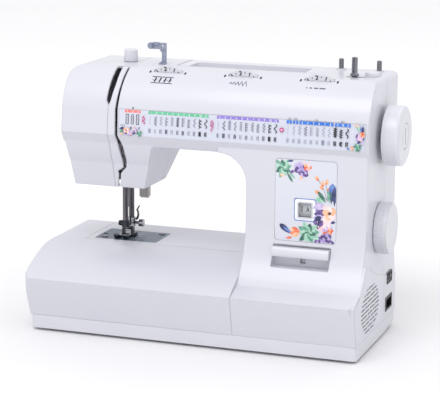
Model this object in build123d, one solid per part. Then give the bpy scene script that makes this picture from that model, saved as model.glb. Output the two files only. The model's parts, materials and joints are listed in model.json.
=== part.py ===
from build123d import *
import math
import os

# Sewing machine, millimetres. X runs along the machine from the bed's left end to the handwheel,
# Y from the operator to the back, Z up. The origin is on the table, under the middle of the machine.

# ---- driving dimensions ----
HALF_DEPTH = 86.0          # rear and front edges of the bed
BED_LEFT = -196.0
BODY_RIGHT = 172.0         # right side of arm and column
BASE_RIGHT = 174.5         # right side of the base, slightly proud of the column
FOOT_H = 3.0
TRAY_TOP = 17.5
RIDGE_Z = 60.4             # front ridge of the bed
BED_TOP = 89.0
COLUMN_LEFT = 40.0
COLUMN_FRONT = -34.5
ARM_BOTTOM = 203.5
ARM_TOP = 284.0            # top surface of the arm
HEAD_LEFT = -171.0
HEAD_BOTTOM = 153.5
SPLIT_Y = 36.0             # seam between front and rear covers
WALL = 2.5
SEAM = 0.2                 # gap round the opening covers
TABLE_GAP = 0.1            # gap round the extension table
RUN = 0.05                 # radial running clearance of shafts
SHAFT_Y = 25.0
SHAFT_Z = 223.6
SHAFT_R = 5.0
LOWER_Y = 52.0
LOWER_Z = 58.0
LOWER_R = 4.0
NEEDLE_X = -122.0
NEEDLE_Y = 25.0
BAR_R = 3.15
PRESSER_Y = 43.0
STROKE = 30.0              # needle bar stroke
MOTOR_Y = -8.0
MOTOR_Z = 45.0
DIAL_Y = 16.8              # pattern dial axis
DIAL_Z = 125.2
DRUM_Y = -11.0             # indicator drum axis
DRUM_Z = 149.0
PIN_R = 2.65
PINS = ((112.4, 69.0), (155.3, 66.0))
WINDER_X = 141.0
WINDER_Y = 18.0
THUMB_X = (-59.0, 26.0, 110.0)
THUMB_Y = -0.4
THUMB_Z = 267.3
DIAL_R = 22.0
BIG = 400.0

nodes = {}


# ---- helpers ----
def block(x0, x1, y0, y1, z0, z1):
    return Pos((x0 + x1) / 2, (y0 + y1) / 2, (z0 + z1) / 2) * Box(x1 - x0, y1 - y0, z1 - z0)


def rod(axis, start, end, a, b, r):
    """Cylinder along an axis; a and b are the other two coordinates in X, Y, Z order."""
    height = end - start
    base = Cylinder(r, height, align=(Align.CENTER, Align.CENTER, Align.MIN))
    if axis == "X":
        return Pos(start, a, b) * Rot(0, 90, 0) * base
    if axis == "Y":
        return Pos(a, start, b) * Rot(-90, 0, 0) * base
    return Pos(a, b, start) * base


def tube(axis, start, end, a, b, r_out, r_in):
    return rod(axis, start, end, a, b, r_out) - rod(axis, start - 1, end + 1, a, b, r_in)


def outline(points):
    """Closed face from points; an item ((via), (end)) is an arc through via."""
    edges = []
    last = points[0]
    for item in points[1:] + [points[0]]:
        if isinstance(item[0], tuple):
            edges.append(ThreePointArc(last, item[0], item[1]))
            last = item[1]
        elif math.dist(last, item) > 1e-6:
            edges.append(Line(last, item))
            last = item
    return make_face(edges)


def inset(face, t):
    return offset(face, amount=-t, kind=Kind.INTERSECTION) if t else face


def prism(plane, face, low, high):
    """Extrude a face drawn in the YZ, XZ or XY plane between two places on the third axis."""
    if plane == "YZ":
        return extrude(Plane.YZ.offset(low) * face, amount=high - low)
    if plane == "XZ":
        return extrude(Plane.XZ.offset(-high) * face, amount=high - low)
    return extrude(Plane.XY.offset(low) * face, amount=high - low)


def rounded(x0, x1, y0, y1, r):
    return Pos((x0 + x1) / 2, (y0 + y1) / 2) * RectangleRounded(x1 - x0, y1 - y0, r)


def wheel(axis, start, a, b, profile):
    """Solid of revolution; profile is (distance along the axis, radius) points."""
    pts = [(r, h) for h, r in profile]
    if pts[0][0] > 0:
        pts = [(0, pts[0][1])] + pts
    if pts[-1][0] > 0:
        pts = pts + [(0, pts[-1][1])]
    turned = revolve(Plane.XZ * outline(pts), Axis.Z)
    if axis == "X":
        return Pos(start, a, b) * Rot(0, 90, 0) * turned
    if axis == "Y":
        return Pos(a, start, b) * Rot(-90, 0, 0) * turned
    return Pos(a, b, start) * turned


def toothed(teeth, r_root, r_tip, fill=0.42):
    """Face of a toothed wheel, with one tooth centred on the local X axis."""
    pts = []
    step = 2 * math.pi / teeth
    for i in range(teeth):
        mid = i * step
        for side, r, width in ((-1, r_root, 0.62), (-1, r_tip, 0.3), (1, r_tip, 0.3), (1, r_root, 0.62)):
            ang = mid + side * step * fill * width
            pts.append((r * math.cos(ang), r * math.sin(ang)))
    return outline(pts)


def gear_x(start, end, y, z, teeth, r_root, r_tip, turn=0.0):
    return Pos(start, y, z) * Rot(turn, 0, 0) * prism("YZ", toothed(teeth, r_root, r_tip), 0, end - start)


def belt(x0, x1, c1, r1, c2, r2, thick):
    """Flat belt round two pulleys whose centres are (y, z)."""
    dy = c2[0] - c1[0]
    dz = c2[1] - c1[1]
    length = math.hypot(dy, dz)

    def loop(extra):
        base = math.atan2(dz, dy)
        lean = math.acos((r1 - r2) / length)
        pts = []
        for centre, r in ((c1, r1 + extra), (c2, r2 + extra)):
            for sign in (1, -1):
                ang = base + sign * lean
                pts.append((centre[0] + r * math.cos(ang), centre[1] + r * math.sin(ang)))
        far1 = (c1[0] - (r1 + extra) * dy / length, c1[1] - (r1 + extra) * dz / length)
        far2 = (c2[0] + (r2 + extra) * dy / length, c2[1] + (r2 + extra) * dz / length)
        return outline([pts[0], pts[2], (far2, pts[3]), pts[1], (far1, pts[0])])

    return prism("YZ", loop(thick), x0, x1) - prism("YZ", loop(0), x0 - 1, x1 + 1)


def save(name, *solids):
    nodes[name] = solids[0] if len(solids) == 1 else Compound(children=list(solids))


# ---- outer forms ----
def arm_form(t):
    """Arm and upper head: side outline, front outline and plan, each set in by t."""
    side = outline([(-1.5, ARM_TOP), ((-22.9, 267.4), (-34.5, 243)), (-37.4, 220), (-37.8, 215.3),
                    (-31, ARM_BOTTOM), (86, ARM_BOTTOM), (86, 279), ((84.5, 282.5), (81, ARM_TOP))])
    front = outline([(HEAD_LEFT, 195), (HEAD_LEFT, 274), ((-168, 281), (-161, ARM_TOP)), (164, ARM_TOP),
                     ((169.7, 281.7), (BODY_RIGHT, 276)), (BODY_RIGHT, 195)])
    plan = outline([(HEAD_LEFT, -40.5), (HEAD_LEFT, 68), ((-165.7, 80.7), (-153, 86)), (168, 86),
                    ((170.8, 84.8), (BODY_RIGHT, 82)), (BODY_RIGHT, -31), ((169.6, -37.6), (163.5, -40.5))])
    return (prism("YZ", inset(side, t), -BIG, BIG) & prism("XZ", inset(front, t), -BIG, BIG)
            & prism("XY", inset(plan, t), 0, BIG))


def head_form(t):
    """Lower head: narrows towards the bottom at the front, the back and the right."""
    side = outline([(-32, 214), (-32, 205), ((-28.4, 194), (-22.5, 181)), (-14.5, HEAD_BOTTOM),
                    (48, HEAD_BOTTOM), (58.5, 167), (69, 183), (82, 204), (82, 214)])
    front = outline([(HEAD_LEFT + 1, 214), (-165, HEAD_BOTTOM), (-83, HEAD_BOTTOM), (-69.5, 199),
                     ((-67.5, 202.5), (-63.5, 204)), (-63.5, 214)])
    return prism("YZ", inset(side, t), -BIG, BIG) & prism("XZ", inset(front, t), -BIG, BIG)


def column_form(t, bottom):
    """Column, with the rounded corner under the arm."""
    front = outline([(COLUMN_LEFT, bottom), (COLUMN_LEFT, 171.5), ((30.6, 194.1), (8, ARM_BOTTOM)),
                     (8, 214), (BODY_RIGHT, 214), (BODY_RIGHT, bottom)])
    plan = outline([(-50, COLUMN_FRONT), (169, COLUMN_FRONT), ((171.1, -33.6), (BODY_RIGHT, -31.5)),
                    (BODY_RIGHT, 82), ((170.8, 84.8), (168, 86)), (-50, 86)])
    return prism("XZ", inset(front, t), -BIG, BIG) & prism("XY", inset(plan, t), 0, BIG)


# what the bed's side outline does between the front ridge and the flat top
FLAT_BROW = [(-28, 83.5), ((-14, 87.6), (0.7, BED_TOP))]
FULL_BROW = [((-52, 79), (-14, 88.2)), (0.7, BED_TOP)]


def bed_form(t, brow):
    """Bed, from the tray upwards: sloping front, brow, flat top."""
    side = outline([(-75.5, TRAY_TOP), (-86, RIDGE_Z)] + brow + [(86, BED_TOP), (86, TRAY_TOP)])
    front = outline([(-192.8, TRAY_TOP), (BED_LEFT, RIDGE_Z), (BED_LEFT, 86),
                     ((-195.1, 88.1), (-193, BED_TOP)), (BODY_RIGHT, BED_TOP),
                     (BASE_RIGHT, RIDGE_Z), (BASE_RIGHT, TRAY_TOP)])
    plan = outline([(-191, -86), (165, -86), ((171.7, -82.2), (BASE_RIGHT, -75)), (BASE_RIGHT, 81),
                    ((173, 84.5), (169.5, 86)), (-191, 86), ((-194.5, 84.5), (BED_LEFT, 81)),
                    (BED_LEFT, -81), ((-194.5, -84.5), (-191, -86))][:-1])
    return (prism("YZ", inset(side, t), -BIG, BIG) & prism("XZ", inset(front, t), -BIG, BIG)
            & prism("XY", inset(plan, t), 0, BIG))


def flare_form(t):
    """Concave sweep from the column's front down on to the bed."""
    side = outline([(COLUMN_FRONT + 4 + t, 132), (COLUMN_FRONT + t, 128.6),
                    ((-42.5 + t, 97.5 - t), (-66.5, 66.9 - t)), (-79.5, 62.5 - t),
                    (-79.5, 40), (-30 + t, 40)])
    return prism("YZ", side, COLUMN_LEFT + t, BODY_RIGHT - t)


def flank_form():
    """The base's right flank: stands proud of the column up to a curved upper edge."""
    edge = outline([(-75.5, TRAY_TOP), (-86, RIDGE_Z), (-79.5, 62.5), (-66.5, 66.9),
                    ((-55, 78), (-42.5, 96)), ((20, 72.5), (86, 60)), (86, TRAY_TOP)])
    return prism("YZ", edge, BODY_RIGHT - 2, BASE_RIGHT)


# ---- covers ----
def housing(t):
    body = arm_form(t) + head_form(t) + column_form(t, TRAY_TOP if t == 0 else 5)
    right_bed = bed_form(t, FLAT_BROW) & block(COLUMN_LEFT + TABLE_GAP / 2 + t, BIG, -BIG, BIG, -BIG, BIG)
    body = body + right_bed + flare_form(t)
    if t:
        return body + block(COLUMN_LEFT + SEAM + t, BODY_RIGHT - t, -72.5, 86 - t, TRAY_TOP - 5, 40)
    return body + flank_form()


def thread_gap():
    """Slit between the left head cover and the front cover, through which the thread is led."""
    path = outline([(-106.4, 300), (-107.2, 268), (-109.2, 241.8), (-108.3, 213.7), (-107, 200.7),
                    (-105.1, 186.3), (-105.3, 176.8), (-112.2, 172.2), (-111.6, 168.5), (-113.9, 155),
                    (-114.4, 140), (-111.6, 140), (-111.1, 155), (-108.9, 169.8), (-101.5, 177.6),
                    (-99.8, 186.6), (-101.2, 201.1), (-105.1, 213.9), (-106, 242), (-105, 268),
                    (-103.6, 300)])
    return prism("XZ", path, -60, 0)


def left_of_gap():
    path = outline([(-105, 300), (-106.1, 268), (-107.6, 241.8), (-106.7, 213.7), (-104.1, 200.9),
                    (-102.4, 186.5), (-103.4, 177.2), (-110.5, 171), (-112.5, 155), (-113, 100),
                    (-BIG, 100), (-BIG, 300)])
    return prism("XZ", path, -60, 0) + block(-BIG, -112, -1, BIG, 100, 300)


def thumb_place(x):
    """Centre plane of a thumb dial: it stands across the shoulder, leaning back a little."""
    return Plane(origin=(x, THUMB_Y, THUMB_Z), x_dir=(1, 0, 0), z_dir=(0, 0.966, 0.259))


def panel_face(grow):
    return Pos(105.75, 158.5) * RectangleRounded(66.5 + 2 * grow, 87 + 2 * grow, 4)


handle_well = prism("XY", rounded(-64, 97, 30, 84, 5), 272.5, 300)
lever_well = prism("XZ", rounded(72, 135, 88, 111, 1.2), -60, -35)

outer = housing(0)
cavity = housing(WALL) - prism("XY", rounded(-66.5, 99.5, 27.5, 90, 5), 270, 300)
cavity = cavity - prism("XZ", rounded(69.5, 137.5, 85.5, 113.5, 2), -60, -32.5)
shell = outer - handle_well - lever_well - cavity
shell = shell - block(-160, -95, -9, 46.6, 150, 160)       # open underside round the bars
shell = shell - block(38, 44, 3, 83, 24, 85.5)             # way through into the free arm
shell = shell - (block(-BIG, -50, -BIG, BIG, 150, 300) & thread_gap())
shell = shell - block(-122.6, -107, 44, 90, 152, 196)      # slot of the presser lifter

head_zone = left_of_gap()
face_edge = outline([(-120, 251.3), (-119, 300), (-110, 300), (-110, 240), (-117, 246)])
face_zone = block(-BIG, -117, -BIG, 30, 100, 300) - prism("XZ", face_edge, -60, 2)
face_gap = block(-117 - SEAM, -117, -60, 30, 100, 250) + block(-BIG, -117, 30 - SEAM, 30, 100, 300)
slot_edge = outline([(-120, 251.3), (-119, 300), (-113, 300), (-112.7, 268), (-115, 251.6),
                     (-117, 246)])
take_up_slot = prism("XZ", slot_edge, -60, 3)

front_half = block(-BIG, BIG, -BIG, SPLIT_Y - SEAM, -BIG, BIG)
rear_half = block(-BIG, BIG, SPLIT_Y, BIG, -BIG, BIG)

head_shell = (shell & head_zone) - take_up_slot
face_shell = (head_shell & face_zone) - face_gap
left_shell = head_shell - face_zone
left_shell = left_shell - block(-112 - SEAM, -100, 0, BIG, 100, 300)
main_shell = shell - head_zone - block(-113, -112 + SEAM, -1, BIG, 100, 300)

knob_hole = rod("Z", 270, 300, NEEDLE_X, PRESSER_Y, 5.4)
left_shell = left_shell - knob_hole
shaft_holes = rod("X", 160, 180, SHAFT_Y, SHAFT_Z, 8) + rod("X", 160, 180, DIAL_Y, DIAL_Z, 6)

front_cover = (main_shell & front_half) - shaft_holes
rear_cover = main_shell & rear_half

for x in THUMB_X:
    dial_slot = extrude(Circle(DIAL_R + 0.5), amount=2.4, both=True)
    front_cover = front_cover - thumb_place(x) * dial_slot
front_cover = front_cover - prism("XZ", panel_face(0.15), -60, COLUMN_FRONT + 1)
front_cover = front_cover - block(97.5, 113, -60, -20, 141, 157)         # indicator window
front_cover = front_cover - block(101.2, 106.8, -40, -30, 91.5, 108)     # slot for the reverse lever's arm

# the winder's spindle swings through a curved slot about the arm's pivot
winder_arc = outline([(-9.2, -42.6), ((0, -43.6), (13, -41.6)), (10.8, -34.9),
                      ((0, -36.4), (-7.6, -35.6))])
front_cover = front_cover - Pos(WINDER_X, WINDER_Y + 40, 270) * prism("XY", winder_arc, 0, 30)

vents = []
for row in range(11):
    z = 23.8 + row * 4.55
    half = 36.0 * math.sqrt(max(0.0, 1 - ((z - 46.5) / 25.5) ** 2))
    cut = -21.5 + (row % 3 - 1) * 9
    for y0, y1 in ((-21.5 - half, cut - 12), (cut - 9.5, cut + 9.5), (cut + 12, -21.5 + half)):
        if y1 - y0 > 3:
            vents.append(block(160, 180, y0, y1, z - 0.85, z + 0.85))
front_cover = front_cover - vents
rear_cover = rear_cover - block(160, 180, 48, 68, 55.5, 67.5)             # rocker cut-out
rear_cover = rear_cover - block(160, 180, 43.7, 70.8, 25.2, 40.8)         # inlet cut-out
for px, py in PINS:
    rear_cover = rear_cover - rod("Z", 270, 300, px, py, 4.3)

save("front_cover", front_cover)
save("rear_cover", rear_cover)
save("left_head_cover", left_shell)
save("face_cover", face_shell)


# ---- base: extension table, free arm, tray, feet ----
TABLE_RIGHT = COLUMN_LEFT - TABLE_GAP / 2
table_form = bed_form(0, FULL_BROW) & block(-BIG, TABLE_RIGHT, -BIG, BIG, TRAY_TOP + TABLE_GAP, BIG)
table_cavity = bed_form(WALL, FULL_BROW) & block(-BIG, TABLE_RIGHT - WALL, -BIG, BIG, 0, BIG)
arm_space = block(-159.85, BIG, -0.85, BIG, 0, BIG)
table = table_form - arm_space
table = table - (table_cavity & block(-156, BIG, -BIG, 20, 0, BIG))       # accessory tray, open to the arm
table = table - (table_cavity & block(-190, -163, 6, 80, 0, 84))          # hollow left end
save("extension_table", table)

arm_box = block(-159.6, COLUMN_LEFT - 0.4, -0.6, HALF_DEPTH, 21, BED_TOP)
arm_inside = block(-157.1, BIG, 1.9, HALF_DEPTH - WALL, 23.5, BED_TOP - WALL)
plate_hole = prism("XY", rounded(-151.2, -77.8, 4.8, 53.2, 2), 80, 100)
hook_door_hole = block(-156, -80, -10, 3, 26, 82)
free_arm = arm_box - arm_inside - plate_hole - hook_door_hole - rod("X", -156.9, -79, 0.6, 29, 0.6)
save("free_arm_cover", free_arm)

door = block(-155.6, -80.4, -0.6, 1.4, 26.4, 81.6) + rod("X", -150, -86, 0.6, 29, 1.3)
door = door - rod("X", -157, -79, 0.6, 29, 0.65)
door = door - block(-125, -111, -1, 0.2, 75, 79)
save("hook_cover", door)
pins = [rod("X", -156.9, -79, 0.6, 29, 0.6)]

tray_face = outline([(-188.5, -75.5), (170, -75.5), ((173.2, -74.2), (BASE_RIGHT, -71)), (BASE_RIGHT, 82),
                     ((173.3, 84.8), (170.5, 86)), (-188.5, 86), ((-191.3, 84.8), (-192.5, 82)),
                     (-192.5, -71.5), ((-191.3, -74.3), (-188.5, -75.5))][:-1])
tray = prism("XY", tray_face, FOOT_H, TRAY_TOP)
tray = tray - prism("XY", inset(tray_face, WALL), FOOT_H + WALL, TRAY_TOP - WALL)
tray = tray - block(COLUMN_LEFT + 2, 169, -70, 82, TRAY_TOP - 4, TRAY_TOP + 1)
tray = tray - prism("YZ", outline([(45, 0), (45, FOOT_H), (95, 8.4), (95, 0)]), -BIG, BIG)
tray_floor = outline([(40, FOOT_H), (45, FOOT_H), (85, 7.4), (85, 10), (45, 5.5), (40, 5.5)])
tray = tray + prism("YZ", tray_floor, -189, 171)
save("base_tray", tray)

FEET = [(-170, -58), (150, -58), (-170, 30), (150, 30), (-10, -58)]
feet = []
for fx, fy in FEET:
    pad = wheel("Z", 0, fx, fy, [(0, 8.2), (0.8, 9), (FOOT_H, 9), (FOOT_H, 0)])
    feet.append(pad)
save("rubber_feet", *feet)

# ---- needle plate and feed ----
PLATE_Z = BED_TOP - 0.1
needle_plate = prism("XY", rounded(-151, -78, 5, 53, 1.8), 86.6, PLATE_Z)
needle_plate = needle_plate - prism("XY", rounded(-122 - 4, -122 + 4, 24.1, 25.9, 0.85), 80, 95)
for sx, y0, y1 in ((-130.5, 12, 42), (-117, 12, 42), (-113, 20, 34)):
    needle_plate = needle_plate - block(sx, sx + 3.5, y0, y1, 80, 95)
needle_plate = needle_plate - rod("Z", 80, 95, -106, 22, 1.3)
needle_plate = needle_plate - block(-151.1, -145, 26, 31, 87.6, 95)
for i in range(5):
    needle_plate = needle_plate - block(-105 + i * 5.2, -104.5 + i * 5.2, 8, 50, PLATE_Z - 0.25, 95)
PLATE_SCREWS = ((-142.7, 14), (-86.5, 47))
needle_plate = needle_plate - [rod("Z", 80, 95, x, y, 2.1) for x, y in PLATE_SCREWS]
save("needle_plate", needle_plate)

screws = []
for x, y in PLATE_SCREWS:
    screw = rod("Z", PLATE_Z, PLATE_Z + 0.9, x, y, 3.6)
    screw = screw - block(x - 4, x + 4, y - 0.5, y + 0.5, PLATE_Z + 0.2, 95)
    screw = screw + rod("Z", 80, PLATE_Z, x, y, 2.0)
    screws.append(screw)

teeth = block(-129.9, -113, 13, 15, 82, 83.5) + block(-134, -108, 15, 39, 80, 83)
for sx, y0, y1 in ((-129.9, 15, 39), (-116.4, 15, 39), (-112.4, 23, 31)):
    teeth = teeth + block(sx, sx + 2.3, y0, y1, 82, 87.6)
    for i in range(int((y1 - y0) / 2)):
        rake = outline([(y0 + i * 2, 87.5), (y0 + i * 2 + 1.9, 87.5), (y0 + i * 2 + 1.3, 88.5)])
        teeth = teeth + prism("YZ", rake, sx, sx + 2.3)
teeth = teeth - rod("Z", 70, 95, NEEDLE_X, NEEDLE_Y, 3)
feed_bar = block(-133, -109, 30, 38, 77, 80) + block(-126, -116, 38, 70, 77, 80)
save("feed_dogs", teeth + feed_bar + block(-140, -100, 66, 72, 74, 80))

# ---- hook, bobbin case, bobbin ----
hook = wheel("Y", 6, NEEDLE_X, LOWER_Z, [(0, 16.2), (0.8, 17), (17, 17), (17, 4), (28, 4), (28, 0)])
hook = hook - rod("Y", 5, 20, NEEDLE_X, LOWER_Z, 13.2)
hook = hook - (block(-112, -96, 5, 15, 64, 80) + block(-130, -122, 5, 12, 68, 80))
case = wheel("Y", 4.2, NEEDLE_X, LOWER_Z, [(0, 12.4), (14.5, 12.4), (14.5, 0)])
case = case - wheel("Y", 5.4, NEEDLE_X, LOWER_Z, [(0, 10.9), (20, 10.9)])
case = case + rod("Y", 5, 17, NEEDLE_X, LOWER_Z, 2.9) + block(-124, -120, 4.2, 6, LOWER_Z + 6, LOWER_Z + 12)
case = case - block(-119, -105, 6.5, 16, LOWER_Z + 4, LOWER_Z + 5.2)
save("bobbin_case", case)
bobbin = wheel("Y", 6, NEEDLE_X, LOWER_Z, [(0, 10.3), (1, 10.3), (1, 4.6), (9.6, 4.6), (9.6, 10.3),
                                           (10.6, 10.3), (10.6, 0)])
bobbin = bobbin - rod("Y", 0, 30, NEEDLE_X, LOWER_Z, 2.9 + RUN)
for i in range(6):
    ang = math.radians(60 * i)
    bobbin = bobbin - rod("Y", 0, 30, NEEDLE_X + 7.4 * math.cos(ang), LOWER_Z + 7.4 * math.sin(ang), 1.3)
save("bobbin", bobbin)
race = wheel("Y", 6.5, NEEDLE_X, LOWER_Z, [(0, 20.5), (15, 20.5)]) - rod("Y", 0, 40, NEEDLE_X, LOWER_Z, 17.6)
race = race & block(-BIG, BIG, -BIG, BIG, 0, 73.5)

# ---- shafts, pulleys, belts, motor ----
hook_gear = wheel("Y", 38, NEEDLE_X, LOWER_Z, [(0, 5.4), (0, 6.6), (5.6, 3.9 + 0.5), (5.6, 0)])
save("rotary_hook", hook + rod("Y", 33, 40, NEEDLE_X, LOWER_Z, 4) + hook_gear)

lower_shaft = rod("X", -112, 157, LOWER_Y, LOWER_Z, LOWER_R)
shaft_gear = wheel("X", -117.6, LOWER_Y, LOWER_Z, [(0, 8.0), (3, 13.4), (6, 13.4), (6, 8), (12, 8), (12, 0)])
for i in range(32):
    notch = Rot(i * 360 / 32, 0, 0) * Pos(0, 0, 13.2) * Box(12, 0.9, 3.2)
    shaft_gear = shaft_gear - Pos(-114.6, LOWER_Y, LOWER_Z) * notch

main_shaft = rod("X", -106, 188, SHAFT_Y, SHAFT_Z, SHAFT_R)
save("main_shaft", main_shaft)
CRANK = STROKE / 2
crank = rod("X", -112, -106, SHAFT_Y, SHAFT_Z, 20) - block(-113, -105, SHAFT_Y + 8, 60, SHAFT_Z - 25, SHAFT_Z)
crank = crank - block(-113, -105, -20, SHAFT_Y - 8, SHAFT_Z - 25, SHAFT_Z)
crank = crank + rod("X", -117.4, -111, SHAFT_Y, SHAFT_Z - CRANK, 3.0)
save("crank_disc", crank)
rod_top = SHAFT_Z - CRANK
con_rod = rod("X", -117, -113, SHAFT_Y, rod_top, 6) + rod("X", -117, -113, SHAFT_Y, rod_top - 28, 5.4)
con_rod = con_rod + block(-117, -113, SHAFT_Y - 3.6, SHAFT_Y + 3.6, rod_top - 28, rod_top)
con_rod = con_rod - rod("X", -120, -110, SHAFT_Y, rod_top, 3.0 + RUN)
con_rod = con_rod - rod("X", -120, -110, SHAFT_Y, rod_top - 28, 2.6)
save("connecting_rod", con_rod)

SPROCKET_R = 12.0
upper_sprocket = gear_x(148.5, 156, SHAFT_Y, SHAFT_Z, 20, SPROCKET_R - 1.4, SPROCKET_R)
upper_sprocket = upper_sprocket + tube("X", 147, 148.5, SHAFT_Y, SHAFT_Z, 15, 5)
upper_sprocket = upper_sprocket - rod("X", 140, 160, SHAFT_Y, SHAFT_Z, SHAFT_R)
lower_sprocket = gear_x(148.5, 156, LOWER_Y, LOWER_Z, 20, SPROCKET_R - 1.4, SPROCKET_R)
lower_sprocket = lower_sprocket + tube("X", 147, 148.5, LOWER_Y, LOWER_Z, 15, 4)
save("lower_shaft", lower_shaft + shaft_gear + lower_sprocket)
BELT_IN = SPROCKET_R + 0.3     # inside of the timing belt
timing_belt = belt(149, 155.5, (SHAFT_Y, SHAFT_Z), BELT_IN, (LOWER_Y, LOWER_Z), BELT_IN, 1.6)


def pulley(y, z, rim, groove):
    return wheel("X", 158.5, y, z, [(0, rim), (1.2, rim), (1.6, groove), (7.4, groove), (7.8, rim), (9, rim)])


drive_pulley = pulley(SHAFT_Y, SHAFT_Z, 30, 27.6)
drive_pulley = drive_pulley - rod("X", 150, 175, SHAFT_Y, SHAFT_Z, SHAFT_R)
save("shaft_pulleys", drive_pulley, upper_sprocket)
motor_pulley = pulley(MOTOR_Y, MOTOR_Z, 10, 7.6)
motor_pulley = motor_pulley + rod("X", 151.2, 158.5, MOTOR_Y, MOTOR_Z, 3)
save("motor_pulley", motor_pulley)
motor_belt = belt(160.5, 165.5, (SHAFT_Y, SHAFT_Z), 27.9, (MOTOR_Y, MOTOR_Z), 7.9, 1.6)
save("drive_belts", timing_belt, motor_belt)
motor = rod("X", 92, 146, MOTOR_Y, MOTOR_Z, 21) + rod("X", 146, 151, MOTOR_Y, MOTOR_Z, 8)
motor = motor - tube("X", 98, 140, MOTOR_Y, MOTOR_Z, 22, 20.2)
motor = motor + block(96, 142, MOTOR_Y - 30, MOTOR_Y + 30, 20, 24) + block(96, 142, -20, 4, 22, 28)
save("motor", motor)

# ---- frame casting and bushes ----
BUSH_R = 8.0
frame = block(-104, -98, 12, 48, 159, 206) + block(-104, -98, 12, 74, 205, 262)      # head plate
frame = frame + block(-99, 145, 50, 62, 210, 222) + block(60, 84, 50, 78, 205, 222)   # upper beam
frame = frame + block(60, 84, 60, 78, 26, 222) + block(-150, 145, 62, 76, 26, 36)     # post, lower beam
for x0, x1 in ((20, 28), (132, 142)):
    frame = frame + block(x0, x1, 14, 52, 212, 236)
for x0, x1 in ((-98, -90), (20, 28), (132, 142)):
    frame = frame + block(x0, x1, 43, 64, 36, 68) + block(x0, x1, 62, 76, 30, 68)
frame = frame + block(-131, -98, 18, 48.4, 159, 170) + block(-131, -117.9, 18, 60, 222, 234)
frame = frame + block(-131, -98, 48.5, 60, 222, 234) + block(-131, -98, 34, 60, 246, 256)
frame = frame + block(-115.6, -98, 8, 22, 257, 268) + rod("X", -119, -113, 15, 262, 2.5)
frame = frame + block(-110.5, -98, 44, 57.2, 170, 178)                                  # lifter lug
frame = frame + race + block(-146, -141, 8, 64, 50, 62) + block(-146, -141, 60, 74, 30, 62)
frame = frame + block(-104, -98, -4, 14, 190, 202) + block(-136, -99, -4, 2, 192, 200)
frame = frame + block(-136, -128, -4, 8, 192, 200) + rod("Z", 186, 204, -140, 10, 6.5)   # lamp holder
frame = frame - rod("Z", 180, 205, -140, 10, 4.2)
frame = frame + block(-122.6, -121.4, 30.5, 37.5, 121, 160)                             # guard between bars
frame = frame + block(136, 146, 50, 62, 220, 258) + rod("Z", 257, 268, WINDER_X, WINDER_Y + 40, 2.5)
frame = frame + block(84, 88, 8, 62, 98, 140) + block(60, 88, 50, 64, 110, 140)       # selector bracket
frame = frame + block(84, 88, -31, 30, 128, 166) + block(84, 88, -31, 12, 98, 130)
frame = frame + rod("X", 84, 131, DRUM_Y, DRUM_Z, 3) + rod("X", 84, 112, 12, 104, 2.5)
frame = frame + tube("X", 84, 111, DIAL_Y, DIAL_Z, 6.5, 4 + RUN) - rod("X", 80, 111, DIAL_Y, DIAL_Z, 4 + RUN)
frame = frame - rod("X", -105, -97, SHAFT_Y, SHAFT_Z, BUSH_R) - rod("X", -115, -90, 54, 173, 2.0)
for x0, x1 in ((19, 29), (131, 143)):
    frame = frame - rod("X", x0, x1, SHAFT_Y, SHAFT_Z, BUSH_R)
for x0, x1 in ((-99, -89), (19, 29), (131, 143)):
    frame = frame - rod("X", x0, x1, LOWER_Y, LOWER_Z, 6.5)
for z0, z1 in ((156, 171), (221, 235)):
    frame = frame - rod("Z", z0, z1, NEEDLE_X, NEEDLE_Y, BAR_R + RUN)
    frame = frame - rod("Z", z0, z1, NEEDLE_X, PRESSER_Y, BAR_R + RUN)
frame = frame - rod("Z", 240, 260, NEEDLE_X, PRESSER_Y, 4.0 + RUN)
save("frame_casting", frame)

bushes = []
for x0, x1 in ((-104, -98), (20, 28), (132, 142)):
    bushes.append(tube("X", x0, x1, SHAFT_Y, SHAFT_Z, BUSH_R, SHAFT_R + RUN))
for x0, x1 in ((-98, -90), (20, 28), (132, 142)):
    bushes.append(tube("X", x0, x1, LOWER_Y, LOWER_Z, 6.5, LOWER_R + RUN))
save("shaft_bushes", *bushes)

# ---- handwheel and clutch ----
handwheel = wheel("X", 177, SHAFT_Y, SHAFT_Z, [(0, 31.2), (0.6, 32.1), (15.2, 32.1), (17.6, 31.2),
                                               (18.8, 28.6), (19, 26), (19, 0)])
handwheel = handwheel + wheel("X", 172.6, SHAFT_Y, SHAFT_Z, [(0, 14), (5, 14)])
handwheel = handwheel - rod("X", 170, 188, SHAFT_Y, SHAFT_Z, SHAFT_R)
handwheel = handwheel - rod("X", 188, 200, SHAFT_Y, SHAFT_Z, 14.1)
save("handwheel", handwheel)
clutch = wheel("X", 188.1, SHAFT_Y, SHAFT_Z, [(0, 13.8), (7.3, 13.8), (7.9, 13.2), (7.9, 0)])
clutch = clutch - block(194.5, 200, SHAFT_Y - 1.6, SHAFT_Y + 1.6, SHAFT_Z - 9, SHAFT_Z + 9)
save("clutch_knob", clutch)

# ---- needle bar group ----
needle_bar = rod("Z", 107, 246, NEEDLE_X, NEEDLE_Y, BAR_R)
driver = block(-127, -118.4, 20, 30, 174.8, 186.4)
driver = driver + rod("X", -118.5, -117.5, SHAFT_Y, rod_top - 28, 2.5)
save("needle_bar", needle_bar + driver)
clamp = rod("Z", 100, 107, NEEDLE_X, NEEDLE_Y, 4.3) + rod("X", -127.2, -124, NEEDLE_Y, 103.6, 3.2)
clamp = clamp - rod("Z", 90, 108, NEEDLE_X, NEEDLE_Y, 1.05)
clamp_screw = rod("X", -129.6, -127.4, NEEDLE_Y, 103.6, 2.9) + rod("X", -127.5, -127.1, NEEDLE_Y, 103.6, 1.3)
for i in range(6):
    nick = Pos(-129.2, NEEDLE_Y, 103.6) * Rot(60 * i, 0, 0) * Pos(0, 0, 3.3) * Box(8, 0.9, 1.4)
    clamp_screw = clamp_screw - nick
save("needle_clamp", clamp + clamp_screw)
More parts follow.
